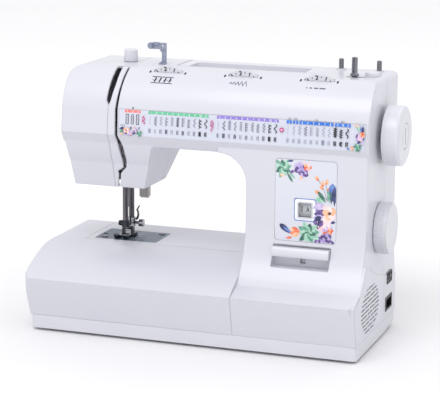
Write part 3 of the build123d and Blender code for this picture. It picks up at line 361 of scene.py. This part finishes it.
class Artwork:
    """Flat printed shapes laid a hair above a surface.

    place(u, v, lift) gives the point in space, in millimetres. window is (u from, u to, v from, v to):
    what falls outside it is cut off. grow enlarges every petal and flower.
    """

    def __init__(self, name, body, place, inks, window=EVERYWHERE):
        self.name, self.body, self.place, self.inks = name, body, place, inks
        self.mesh = bmesh.new()
        self.used = []
        self.lift = LIFT
        self.window = window
        self.grow = 1.0

    def trimmed(self, points):
        """The points of an outline after cutting it at the edges of the window."""
        for axis, limit, sign in ((0, self.window[0], 1), (0, self.window[1], -1),
                                  (1, self.window[2], 1), (1, self.window[3], -1)):
            kept = []
            for i, here in enumerate(points):
                last = points[i - 1]
                inside, was_inside = sign * (here[axis] - limit) >= 0, sign * (last[axis] - limit) >= 0
                if inside != was_inside:
                    t = (limit - last[axis]) / (here[axis] - last[axis])
                    kept.append((last[0] + t * (here[0] - last[0]), last[1] + t * (here[1] - last[1])))
                if inside:
                    kept.append((here[0], here[1]))
            points = kept
        return points

    def fill(self, points, ink):
        points = self.trimmed(points)
        if len(points) < 3:
            return
        if ink not in self.used:
            self.used.append(ink)
        self.lift += LIFT_STEP
        corners = [self.mesh.verts.new(self.place(u, v, self.lift) * MM) for u, v in points]
        face = self.mesh.faces.new(corners)
        face.material_index = self.used.index(ink)

    def stroke(self, points, width, ink):
        """A line of even width through the points, mitred at its corners."""
        left, right = [], []
        for i, (u, v) in enumerate(points):
            before = Vector(points[max(i - 1, 0)])
            after = Vector(points[min(i + 1, len(points) - 1)])
            here = Vector((u, v))
            d0 = (here - before).normalized() if i else (after - here).normalized()
            d1 = (after - here).normalized() if i < len(points) - 1 else d0
            across = Vector((-(d0 + d1).y, (d0 + d1).x))
            across = across.normalized() if across.length > 0.01 else Vector((-d0.y, d0.x))
            reach = width / 2 / max(0.5, across.dot(Vector((-d0.y, d0.x))))
            left.append(here + across * reach)
            right.append(here - across * reach)
        for i in range(len(points) - 1):
            self.fill([left[i], left[i + 1], right[i + 1], right[i]], ink)

    def disc(self, u, v, r, ink, count=18, squash=1.0):
        turn = [2 * math.pi * k / count for k in range(count)]
        self.fill([(u + r * math.cos(a), v + r * squash * math.sin(a)) for a in turn], ink)

    def petal(self, u, v, angle, length, width, ink, tip=0.62):
        """A leaf or petal growing from (u, v); tip is where along it it is widest."""
        a = math.radians(angle)
        length, width = length * self.grow, width * self.grow
        along, across = Vector((math.cos(a), math.sin(a))), Vector((-math.sin(a), math.cos(a)))
        edge = []
        for k in range(1, 9):
            t = k / 9
            swell = math.sin(math.pi * t ** (math.log(0.5) / math.log(tip))) ** 0.9
            edge.append((t * length, swell * width / 2))
        shape = [Vector((0, 0))] + [Vector(p) for p in edge] + [Vector((length, 0))]
        shape += [Vector((x, -y)) for x, y in reversed(edge)]
        start = Vector((u, v))
        self.fill([start + along * p.x + across * p.y for p in shape], ink)

    def rosette(self, u, v, size, tones, count=9, start=0.0, spread_deg=360.0):
        """A fleshy-leaved rosette: long outer leaves, short inner ones, each with a darker rib."""
        for ring, (scale, wide) in enumerate(((1.0, 0.36), (0.68, 0.3), (0.4, 0.22))):
            for k in range(count):
                angle = start + spread_deg * (k + 0.5 * ring) / count
                length = size * scale * (0.88 + 0.12 * math.sin(k * 2.3 + ring))
                self.petal(u, v, angle, length, size * wide, tones[(k + ring) % len(tones)])
                a = math.radians(angle)
                reach = 0.8 * length * self.grow
                tip = (u + reach * math.cos(a), v + reach * math.sin(a))
                self.stroke([(u, v), tip], size * 0.016, "leaf_dark")

    def blossom(self, u, v, size, tones, count=5, start=0.0, core="core"):
        for ring, scale in enumerate((1.0, 0.66)):
            for k in range(count):
                angle = start + 360 * (k + 0.5 * ring) / count
                tone = tones[(k + ring) % len(tones)]
                self.petal(u, v, angle, size * scale, size * 0.82 * scale, tone, 0.66)
        if core:
            size *= self.grow
            self.disc(u, v, size * 0.2, core)
            for k in range(9):
                a = 2 * math.pi * k / 9
                self.disc(u + size * 0.29 * math.cos(a), v + size * 0.29 * math.sin(a), size * 0.035, core, 6)

    def twig(self, points, buds, ink="leaf_dark"):
        self.stroke(points, 0.45, ink)
        for (u, v, angle, length) in buds:
            self.petal(u, v, angle, length, length * 0.62, "peach", 0.5)
            self.petal(u, v, angle, length * 0.5, length * 0.34, "coral", 0.5)

    def text(self, words, u, v, height, width, ink, gap=0.45):
        """Numbers, dashes and the letter A, centred on u."""
        unit = height / 2
        step = unit * (1 + gap)
        x = u - (len(words) * step - unit * gap) / 2
        for letter in words:
            for line in GLYPHS[letter]:
                self.stroke([(x + p * unit, v + q * unit) for p, q in line], width, ink)
            x += step

    def finish(self):
        obj = mesh_object(self.name, self.mesh, [self.inks[ink] for ink in self.used])
        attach(obj, self.body)


# ---------------------------------------------------------------- where the print lies, in millimetres
DIALS = {"tension_dial": -59.0, "width_dial": 26.0, "length_dial": 110.0}       # middle of each along X
DIAL_Y, DIAL_Z = -0.4, 267.3                # a point on each dial's axis
DIAL_FACE = 2.0             # from that point forward to the numbered face
DIAL_LEAN = math.atan2(0.259, 0.966)        # slope of the dials' axes
DRUM_Y, DRUM_Z, DRUM_R = -11.0, 149.0, 19.5
DRUM_CLEAR = 0.25           # keeps the letters above the drum's flat facets
SHOULDER_CLEAR = 0.08       # does the same on the curved shoulder
UPPER_ROW, LOWER_ROW = 233.4, 222.3         # heights of the chart's two rows of stitches


def on_arm(x, z, lift):
    y = -37.4 + (z - 220) * 2.9 / 23 if z > 220 else -37.8 + (z - 215.3) * 0.4 / 4.7
    return Vector((x, y - lift, z))


def on_column(x, z, lift):
    return Vector((x, -34.8 - lift, z))


def arc_centre(a, b, c):
    """Centre and radius of the circle through three (y, z) points."""
    ax, ay, bx, by, cx, cy = *a, *b, *c
    d = 2 * (ax * (by - cy) + bx * (cy - ay) + cx * (ay - by))
    sa, sb, sc = ax * ax + ay * ay, bx * bx + by * by, cx * cx + cy * cy
    centre = Vector(((sa * (by - cy) + sb * (cy - ay) + sc * (ay - by)) / d,
                     (sa * (cx - bx) + sb * (ax - cx) + sc * (bx - ax)) / d))
    return centre, (centre - Vector(a)).length


SHOULDER, SHOULDER_R = arc_centre((-1.5, 284), (-22.9, 267.4), (-34.5, 243))


def on_shoulder(x, z, lift):
    y = SHOULDER.x - math.sqrt(SHOULDER_R ** 2 - (z - SHOULDER.y) ** 2)
    out = (Vector((y, z)) - SHOULDER).normalized() * (lift + SHOULDER_CLEAR)
    return Vector((x, y + out.x, z + out.y))


# ---------------------------------------------------------------- stitch pictures
def zigzag(width, height, steps):
    return [(width / 2 * (-1) ** k, height * (k / steps - 0.5)) for k in range(steps + 1)]


def wave(width, height, turns, count=24):
    return [(width / 2 * math.sin(2 * math.pi * turns * k / count), height * (k / count - 0.5))
            for k in range(count + 1)]


def stepped(width, height, rows):
    line = []
    for k in range(rows):
        low = height * (k / rows - 0.5)
        rise = height / rows
        line += [(-width / 2, low), (width / 2, low + rise * 0.35), (-width / 2, low + rise * 0.7)]
    return line


def blind(width, height, rows):
    line = []
    for k in range(rows):
        low = height * (k / rows - 0.5)
        rise = height / rows
        line += [(-width / 2, low), (-width / 4, low + rise * 0.3), (width / 2, low + rise * 0.5),
                 (-width / 4, low + rise * 0.7)]
    return line + [(-width / 2, height / 2)]


def dashes(height, count):
    pitch = height / count
    return [[(0, -height / 2 + pitch * k), (0, -height / 2 + pitch * (k + 0.6))] for k in range(count)]


def rungs(width, height, count, tilt=0.0):
    return [[(-width / 2, height * ((k + 0.5) / count - 0.5) - tilt),
             (width / 2, height * ((k + 0.5) / count - 0.5) + tilt)] for k in range(count)]


def stitch(kind, width, height):
    """Lines of one stitch picture, upright and centred."""
    if kind == 0:
        return dashes(height, 4)
    if kind == 1:
        return [zigzag(width, height, 6)]
    if kind == 2:
        return [wave(width, height, 2.5)]
    if kind == 3:
        return [blind(width, height, 3)]
    if kind == 4:
        return rungs(width, height, 5, 0.5) + [[(-width / 2, -height / 2), (-width / 2, height / 2)]]
    if kind == 5:
        return [zigzag(width, height, 9), [(x, z + height * 0.06) for x, z in zigzag(-width, height, 9)]]
    if kind == 6:
        return rungs(width, height, 6, -0.5)
    if kind == 7:
        return [stepped(width, height, 4)]
    if kind == 8:
        return [wave(width, height, 3.5, 30)]
    if kind == 9:
        return [zigzag(width * 0.8, height, 4)]
    return [wave(width, height, 1.5, 18)]


def stitch_columns(art, x0, x1, kinds, inks_used, widths):
    count = len(kinds)
    for k, kind in enumerate(kinds):
        x = x0 + (x1 - x0) * k / (count - 1)
        z = UPPER_ROW - 0.5 * (k % 2)
        for line in stitch(kind, 2.6, 9.4):
            art.stroke([(x + u, z + v) for u, v in line], widths[k], inks_used[k])
        for side in (-0.75, 0.75) if k % 3 else (-0.9, 0, 0.9):
            for line in stitch((kind + 3) % 11, 0.9, 4.6):
                art.stroke([(x + side + u, LOWER_ROW + v) for u, v in line], widths[k] * 0.7, inks_used[k])


def bracket(art, x0, x1, ink, count, first=1):
    """Coloured heading over a group of stitches, with a leg at each end and a number over each column."""
    art.fill([(x0, 240.1), (x0, 242.6), (x0 + 0.6, 243.2), (x1 - 0.6, 243.2), (x1, 242.6), (x1, 240.1)], ink)
    for x in (x0, x1 - 0.7):
        art.fill([(x, 239.4), (x, 240.2), (x + 0.7, 240.2), (x + 0.7, 239.4)], ink)
    for k in range(count):
        x = x0 + (x1 - x0) * (k + 0.5) / count
        art.text(str(first + k), x, 240.55, 1.9, 0.34, "white")


def make_chart(inks):
    art = Artwork("stitch_chart_print", "machine", on_arm, inks)
    bracket(art, -97.6, -79.4, "red", 3)
    for x in (-94.4, -88.4, -82.5):
        ring = [(x - 1.5, 228), (x - 1.5, 238.2), (x + 1.5, 238.2), (x + 1.5, 228), (x - 1.5, 228)]
        if x == -88.4:
            ring = [(x + 1.5 * math.cos(a), 233.1 + (3.6 if math.sin(a) > 0 else -3.6) + 1.5 * math.sin(a))
                    for a in (math.pi * k / 8 for k in range(17))]
        art.stroke(ring, 0.62, "black")
        art.stroke([(x, 229.4), (x, 236.8)], 0.3, "slate")
        for k in range(12):
            z = 228.7 + k * 0.8
            art.stroke([(x - 1.5, z), (x - 0.7, z)], 0.28, "slate")
            art.stroke([(x + 0.7, z), (x + 1.5, z)], 0.28, "slate")
    art.stroke([(-102, 226.6), (-98.8, 226.2)], 0.5, "black")
    art.text("1", -97.6, 225.4, 1.8, 0.5, "black")
    art.text("45", -88.4, 244.4, 1.5, 0.34, "black")

    bracket(art, -70.2, -2.3, "green", 11)
    bracket(art, 7.1, 75.1, "violet", 11)
    soft = ["grey", "slate", "grey", "slate", "slate", "slate", "slate", "slate", "slate", "black", "black"]
    thin = [0.42, 0.55, 0.42, 0.5, 0.46, 0.5, 0.44, 0.5, 0.48, 0.85, 0.85]
    stitch_columns(art, -68.2, -5.0, [0, 8, 1, 3, 6, 5, 4, 7, 9, 3, 10], soft, thin)
    stitch_columns(art, 8.9, 72.2, [0, 2, 5, 9, 6, 4, 8, 7, 1, 3, 10], soft, thin)

    for x0, x1, count, first in ((84.1, 89.5, 1, 1), (91.0, 96.4, 1, 2), (97.8, 134.3, 6, 3),
                                 (136.0, 152.8, 3, 9)):
        bracket(art, x0, x1, "blue", count, first)
    pale = ["grey", "grey", "grey", "slate", "grey", "slate", "grey", "grey", "black", "black", "black"]
    bold = [0.36, 0.42, 0.4, 0.5, 0.4, 0.42, 0.4, 0.42, 0.95, 1.0, 1.05]
    stitch_columns(art, 85.8, 149.4, [0, 9, 1, 8, 4, 6, 2, 9, 5, 7, 10], pale, bold)
    for x, words in ((86.8, "1-4"), (93.8, "2-4"), (115.8, "1-2"), (144.4, "0-1")):
        art.text(words, x, 244.4, 1.4, 0.32, "black")

    # magenta marks between the groups
    for x, z in ((-75.7, 233.6), (1.9, 233.6)):
        art.stroke([(x + 0.9 + u * 0.9, z + v) for u, v in wave(2.2, 8.6, 2.0)], 0.85, "magenta")
        art.stroke([(x - 1.0 + u * 0.5, z + v) for u, v in wave(1.6, 6.0, 3.0)], 0.5, "magenta")
    art.stroke([(1.9, 226.2), (1.9, 229.2)], 1.1, "magenta")
    art.disc(79.1, 232.8, 2.35, "magenta", 24)
    art.disc(79.1, 232.8, 1.0, "white", 18)
    art.disc(79.1, 232.8, 0.5, "magenta", 12)

    # flowers at the chart's left end
    art.petal(-103, 222.8, 8, 6.2, 3.0, "navy")
    art.petal(-103.2, 221, -14, 6.0, 2.4, "leaf")
    art.petal(-103.0, 218.6, 20, 5.6, 2.0, "leaf_dark")
    art.petal(-102.6, 217.4, 4, 4.2, 1.8, "peach")
    art.blossom(-94.4, 221.4, 3.7, ["peach", "pink"], 5, 20)
    art.blossom(-90.4, 218.8, 3.0, ["pink", "lilac"], 5, 50, None)
    art.petal(-97.2, 217.2, 20, 4.4, 1.8, "plum")
    art.petal(-90.2, 222.0, 70, 4.0, 1.5, "navy")
    art.blossom(-84.2, 221.6, 2.6, ["plum", "lilac", "pink"], 5, 10, None)
    art.petal(-88.4, 217.2, 28, 5.4, 2.0, "navy")
    art.petal(-86.0, 224.2, 60, 2.4, 1.0, "coral")
    art.petal(-80.8, 222.6, 65, 3.6, 1.2, "plum")
    art.rosette(-79.2, 218.4, 4.0, ["leaf", "leaf_dark", "leaf_light"], 7, 12, 300)

    # flowers at its right end
    art.petal(156.0, 243.0, -20, 6.4, 1.8, "peach")
    art.petal(158.2, 242.0, -48, 7.4, 1.8, "leaf")
    art.petal(160.6, 242.6, -70, 7.6, 1.6, "leaf_light")
    art.petal(166.0, 243.0, -92, 9.0, 2.6, "navy")
    art.petal(163.6, 243.0, -84, 8.2, 1.8, "sky")
    art.blossom(162.6, 230.2, 4.4, ["pink", "lilac"], 5, 12, None)
    art.petal(158.6, 229.2, 62, 5.0, 2.2, "plum")
    art.blossom(165.6, 233.4, 3.0, ["peach", "coral"], 5, 40)
    art.petal(165.8, 229.8, -30, 2.8, 1.6, "navy")
    art.petal(160.2, 223.6, 40, 5.0, 2.4, "navy")
    art.petal(164.8, 222.4, 66, 5.0, 2.0, "lilac")
    art.rosette(161.0, 219.8, 5.2, ["leaf", "leaf_dark", "leaf_light"], 8, -10)
    art.blossom(155.6, 218.8, 1.9, ["peach", "coral"], 4, 30, None)
    art.petal(149.2, 219.2, -28, 4.2, 2.0, "sky")
    art.finish()


def make_panel(inks):
    """Flowers and window surround on the column's panel."""
    art = Artwork("column_panel_print", "machine", on_column, inks, (72.9, 138.6, 115.4, 201.6))
    art.grow = 1.28
    # top left corner
    art.rosette(80.2, 192.6, 9.0, ["leaf", "leaf_light", "leaf_dark"], 9, 15)
    art.petal(85.0, 199.4, 20, 6.0, 2.6, "navy")
    art.petal(84.0, 189.6, -58, 11.0, 2.2, "leaf_dark")
    art.petal(86.0, 190.0, -46, 9.0, 1.8, "leaf")
    art.petal(77.0, 186.4, -35, 4.4, 2.4, "peach")
    art.blossom(98.6, 193.6, 5.4, ["plum", "lilac", "lilac"], 5, 8, None)
    art.blossom(103.0, 188.6, 4.6, ["plum", "lilac"], 5, 40, "navy")
    art.blossom(107.4, 194.8, 3.6, ["coral", "pink", "peach"], 5, 0, None)
    art.petal(94.0, 190.4, 200, 4.8, 2.6, "plum")
    art.petal(99.4, 186.0, -70, 4.0, 2.4, "peach")
    art.petal(102.6, 197.6, 60, 3.0, 2.0, "pink")

    # buds and leaves at the right edge
    art.twig([(129.0, 160.4), (127.0, 168), (124.2, 174.6), (119.6, 181.4)],
             [(119.6, 181.4, 128, 5.0), (124.0, 175.0, 92, 5.2), (124.6, 172.6, 140, 4.0)])
    art.twig([(129.6, 160.4), (129.0, 170), (127.4, 177.4)],
             [(127.4, 177.4, 76, 5.2), (128.8, 171.6, 40, 4.2), (121.6, 167.4, 150, 5.4)])
    art.stroke([(128.4, 162.0), (121.8, 167.6)], 0.4, "leaf_dark")
    art.petal(128.2, 158.2, 128, 12.0, 3.4, "leaf_dark")
    art.petal(126.6, 158.0, 152, 9.0, 4.0, "leaf_light")
    art.petal(133.6, 156.0, 87, 18.5, 6.4, "sky", 0.72)
    art.petal(137.0, 155.0, 90, 17.0, 4.4, "navy", 0.6)
    art.petal(133.4, 158.0, 76, 13.0, 3.4, "navy")
    art.petal(132.8, 158.0, 92, 11.0, 1.6, "leaf_dark")
    art.petal(131.6, 158.0, 98, 11.0, 2.0, "leaf")

    # large flower, lower right
    for angle, length, width, ink in (
            (168, 13.0, 9.0, "lilac"), (140, 12.0, 8.4, "lilac"), (196, 12.4, 8.0, "plum"),
            (110, 11.6, 8.0, "pink"), (224, 12.6, 8.6, "navy"), (206, 11.6, 7.0, "plum"),
            (250, 12.0, 10.0, "pink"), (272, 12.0, 9.6, "lilac"), (60, 9.4, 8.2, "lilac")):
        art.petal(128.4, 142.2, angle, length, width, ink, 0.64)
    art.petal(117.0, 150.8, -8, 8.0, 2.8, "navy", 0.5)
    art.petal(117.2, 148.0, 6, 8.0, 2.4, "plum", 0.5)
    art.blossom(126.8, 138.0, 7.2, ["pink", "blush", "blush"], 5, 18, None)
    art.petal(118.0, 133.0, 44, 7.4, 4.4, "navy")
    art.petal(120.6, 131.4, 60, 6.4, 3.4, "plum")
    art.petal(128.4, 135.0, -64, 5.4, 3.0, "lilac")
    art.blossom(132.0, 147.6, 6.4, ["peach", "blush", "peach"], 5, 34)
    art.petal(133.0, 137.6, 14, 4.4, 2.4, "navy", 0.5)
    art.blossom(132.8, 128.8, 3.0, ["coral", "peach"], 4, 20, None)

    # window surround
    for reach, width, ink in ((11.6, 0.9, "sky"), (9.7, 2.9, "white")):
        edge = [(sx * (reach - 1.4 + 1.4 * cx), sz * (reach - 1.4 + 1.4 * cz)) for sx, sz, order in
                ((1, 1, 1), (-1, 1, -1), (-1, -1, 1), (1, -1, -1))
                for cx, cz in ((1.0, 0.0), (0.7, 0.7), (0.0, 1.0))[::order]]
        art.stroke([(105.4 + u, 149.4 + v) for u, v in edge + edge[:1]], width, ink)
    art.petal(113.4, 151.8, 20, 10.0, 6.4, "lilac", 0.6)
    art.petal(114.4, 146.2, -4, 9.0, 5.4, "plum", 0.6)
    art.petal(113.2, 141.6, 8, 10.0, 4.6, "lilac", 0.6)
    art.petal(114.4, 138.2, 30, 8.0, 4.4, "navy", 0.6)

    # foot of the panel
    art.petal(77.6, 132.4, -36, 13.5, 4.6, "navy", 0.36)
    art.petal(80.6, 130.0, -30, 9.6, 2.2, "sky", 0.5)
    for angle, length in ((168, 10.0), (150, 8.6), (186, 9.6), (204, 8.4)):
        art.petal(101.0, 124.6, angle, length, 3.4, "peach" if angle in (168, 204) else "coral", 0.6)
    art.petal(84.0, 117.6, 10, 6.0, 2.2, "coral")
    art.blossom(128.6, 121.0, 5.2, ["plum", "lilac"], 5, 30, "navy")
    art.blossom(120.0, 117.6, 3.6, ["lilac", "plum"], 5, 0, None)
    art.petal(133.6, 119.2, -50, 4.0, 2.4, "plum")
    art.petal(124.2, 125.0, 30, 4.0, 2.0, "coral")
    art.petal(132.4, 124.6, 60, 3.2, 1.8, "coral")
    art.rosette(109.4, 125.2, 10.6, ["leaf", "leaf_light", "leaf_dark", "leaf_light"], 10, 8)
    art.finish()


def make_shoulder_marks(inks):
    """Symbols in front of the three thumb dials, and the index dots beside them."""
    art = Artwork("shoulder_marks", "machine", on_shoulder, inks)
    for z in (271.4, 277.0):
        art.stroke([(-74.0 + 4 * k, z) for k in range(7)], 0.75, "slate")
    for k in range(4):
        x = -70.0 + 5.6 * k
        art.stroke([(x - 0.5, 272.4), (x + 0.3, 274.2), (x + 0.7, 276.2)], 1.7, "black")
    for k in range(6):
        art.stroke([(-73 + 4.1 * k, 274.0), (-71.6 + 4.1 * k, 274.2)], 0.45, "slate")
    line, x = [], 13.6
    for k in range(11):
        tall = 1.0 + 0.36 * k
        line.append((x, 275.2 + tall * (0.5 if k % 2 else -0.5)))
        x += 1.75 + 0.06 * k
    art.stroke(line, 0.6, "slate")
    for x, length in ((98.6, 1.2), (102.2, 2.6), (107.0, 4.4), (112.8, 6.4)):
        art.stroke([(x + length * k / 2, 275.0) for k in range(3)], 0.95, "slate")
    for centre in DIALS.values():
        for side in (-20.0, 20.0):
            art.disc(centre + side, 281.2, 1.1, "black", 14)
    art.finish()


def make_dial_numbers(inks):
    """Numbers round the front face of each thumb dial and on the indicator drum."""
    for body, x in DIALS.items():
        def on_face(u, v, lift, x=x):
            depth = DIAL_FACE + lift
            return Vector((x + u, DIAL_Y - depth * math.cos(DIAL_LEAN) - v * math.sin(DIAL_LEAN),
                           DIAL_Z - depth * math.sin(DIAL_LEAN) + v * math.cos(DIAL_LEAN)))

        art = Artwork(body + "_numbers", body, on_face, inks)
        for k in range(12):
            turn = math.radians(30 * k - 8)
            ahead = Vector((math.sin(turn), math.cos(turn)))
            along = Vector((ahead.y, -ahead.x))
            for line in GLYPHS[str((12 - k) % 10)]:
                points = [ahead * (17.2 + q * 1.9) + along * ((p - 0.5) * 2.3) for p, q in line]
                art.stroke([(at.x, at.y) for at in points], 1.25, "black")
            mark = math.radians(30 * k + 7)
            art.disc(19.6 * math.sin(mark), 19.6 * math.cos(mark), 0.7, "black", 10)
        art.finish()

    def on_drum(u, v, lift):
        turn = v / DRUM_R
        reach = DRUM_R + DRUM_CLEAR + lift
        return Vector((u, DRUM_Y - reach * math.cos(turn), DRUM_Z + reach * math.sin(turn)))

    art = Artwork("drum_letters", "indicator_drum", on_drum, inks)
    for k in range(10):
        base = -2.2 + k * 12.25
        art.text("A" if k == 0 else str(k), 107.2, base, 5.2, 0.95, "black")
        for line in stitch(1 + k, 1.8, 7.0):
            art.stroke([(100.8 + p, base + 2.4 + q) for p, q in line], 0.7, "black")
        art.stroke([(111.0, base + 1.6), (112.4, base + 1.6)], 0.5, "slate")
    art.finish()


# ---------------------------------------------------------------- small made pieces
def ring_piece(name, body, mat, outer, inner, place, rise):
    """A flat frame with a softened outer edge. outer and inner are (width, height, corner radius)."""
    def loop(size, grow):
        width, height, radius = size
        radius = max(0.1, radius + grow)
        points = []
        for quarter in range(4):
            for k in range(7):
                a = math.pi / 2 * (quarter + k / 6)
                sx = 1 if quarter in (0, 3) else -1
                sy = 1 if quarter in (0, 1) else -1
                points.append((sx * (width / 2 + grow - radius) + radius * math.cos(a),
                               sy * (height / 2 + grow - radius) + radius * math.sin(a)))
        return points

    bm = bmesh.new()
    rings = []
    for size, grow, lift in ((inner, 0, -0.6), (inner, 0, rise * 0.6), (inner, 0.3, rise),
                             (outer, -0.4, rise), (outer, -0.1, rise * 0.7), (outer, 0, 0.0),
                             (outer, 0, -0.1)):
        rings.append([bm.verts.new(place(u, v, lift) * MM) for u, v in loop(size, grow)])
    for a, b in zip(rings, rings[1:]):
        count = len(a)
        for k in range(count):
            bm.faces.new((a[k], a[(k + 1) % count], b[(k + 1) % count], b[k]))
    bmesh.ops.recalc_face_normals(bm, faces=bm.faces)
    obj = mesh_object(name, bm, [mat])
    obj.data.shade_smooth()
    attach(obj, body)


def strip_piece(name, body, mat, path, half_width, thick):
    """A bent leaf of sheet metal along a path of (x, y, z) points, wide in X, with a folded lip."""
    bm = bmesh.new()
    rows = []
    for i, (x, y, z) in enumerate(path):
        y0, z0 = path[max(i - 1, 0)][1:]
        y1, z1 = path[min(i + 1, len(path) - 1)][1:]
        tangent = Vector((y1 - y0, z1 - z0)).normalized()
        out = Vector((tangent.y, -tangent.x))
        out = -out if out.x > 0 else out
        row = []
        for u, lift in ((-1, 1.2), (-0.86, 0.2), (-0.4, 0), (0.4, 0), (0.86, 0.2), (1, 1.2)):
            row.append(bm.verts.new(Vector((x + u * half_width, y + out.x * lift, z + out.y * lift)) * MM))
        rows.append(row)
    for a, b in zip(rows, rows[1:]):
        for k in range(len(a) - 1):
            bm.faces.new((a[k], a[k + 1], b[k + 1], b[k]))
    obj = mesh_object(name, bm, [mat])
    obj.data.shade_smooth()
    solid = obj.modifiers.new("thickness", "SOLIDIFY")
    solid.thickness = thick * MM
    smooth = obj.modifiers.new("smooth", "SUBSURF")
    smooth.levels = smooth.render_levels = 2
    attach(obj, body)


def make_pieces(mats):
    ring_piece("window_bezel", "machine", mats["white_trim"],
               (17.2, 18.2, 1.8), (14.3, 15.2, 0.9),
               lambda u, v, lift: Vector((105.3 + u, -34.9 - lift, 149.0 + v)), 0.7)
    ring_piece("switch_bezel", "machine", mats["black_plastic"],
               (21.6, 13.6, 2.6), (17.6, 9.6, 1.0),
               lambda u, v, lift: Vector((174.9 + lift, 58.0 + u, 61.5 + v)), 0.35)
    strip_piece("thread_leaf", "machine", mats["bar_steel"],
                [(-105.6, -30.4, 212), (-104.6, -28.0, 205), (-103.4, -25.4, 198), (-102.6, -22.6, 190),
                 (-102.4, -19.4, 182), (-103.8, -16.2, 175)], 4.2, 0.5)
    strip_piece("slit_guard", "machine", mats["black_plastic"],
                [(-111.2, -14.0, 172.0), (-112.0, -12.5, 166.0), (-112.8, -11.0, 161.0)], 3.2, 0.6)


def make_spring(mats):
    """Presser spring: a steel copy of the CAD coil, fixed to the machine."""
    coil = frame["nodes"]["presser_spring"]
    spring = bpy.data.objects.new("presser_coil", coil.data.copy())
    spring.matrix_world = coil.matrix_world.copy()
    spring.data.materials.clear()
    spring.data.materials.append(mats["steel"])
    scene.collection.objects.link(spring)
    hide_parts("presser_spring")
    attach(spring, "machine")
    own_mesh(spring)


# ---------------------------------------------------------------- surroundings
FLOOR_REACH = 6.0           # from the middle of the floor to its edge, m


def pale_floor():
    """Pale matt floor with painted light: coloured whiter away from the machine, where the lamps light it
    less.
    """
    mat = surface("floor_white", srgb(233, 233, 234), srgb(234, 234, 235), (0.5, 0.6), 0.01, 1.5, spec=0.2)
    tree = mat.node_tree
    coords = add_node(tree, "ShaderNodeTexCoord")
    reach = add_node(tree, "ShaderNodeVectorMath", operation="LENGTH")
    tree.links.new(coords.outputs["Object"], reach.inputs[0])
    # painted light: from 0.3 m to 0.9 m out from the middle, the floor colour turns to white
    overlay(tree, spread(tree, reach.outputs["Value"], 0.0, 1.0, 0.3, 0.9), srgb(255, 255, 255))
    return mat


def make_floor():
    bm = bmesh.new()
    bmesh.ops.create_grid(bm, x_segments=8, y_segments=8, size=FLOOR_REACH)
    floor = mesh_object("floor", bm, [pale_floor()])


def add_light(name, place, target, size, power, colour=(1, 1, 1)):
    data = bpy.data.lights.new(name, "AREA")
    data.shape = "RECTANGLE"
    data.size, data.size_y = size
    data.energy = power
    data.color = colour
    light = bpy.data.objects.new(name, data)
    light.location = place
    light.rotation_euler = (Vector(target) - Vector(place)).to_track_quat("-Z", "Y").to_euler()
    scene.collection.objects.link(light)


def make_lights():
    middle = (0, 0, 0.15)
    add_light("key", (-0.1, -1.5, 2.3), middle, (1.6, 1.2), 26)
    add_light("overhead", (0.8, 1.0, 2.5), middle, (2.0, 1.6), 7, (0.99, 0.99, 1.0))
    add_light("side", (2.3, -0.9, 1.2), middle, (1.6, 1.4), 1.5, (0.97, 0.98, 1.0))
    world = bpy.data.worlds.new("studio")
    world.use_nodes = True
    background = world.node_tree.nodes["Background"]
    background.inputs["Color"].default_value = (0.985, 0.985, 1.0, 1)
    background.inputs["Strength"].default_value = 0.93
    scene.world = world


scene.view_settings.view_transform = "Standard"
make_camera()
MATS = make_materials()
dress_nodes(MATS)
INK = make_inks()
make_chart(INK)
make_panel(INK)
make_shoulder_marks(INK)
make_dial_numbers(INK)
make_pieces(MATS)
make_spring(MATS)
make_floor()
make_lights()
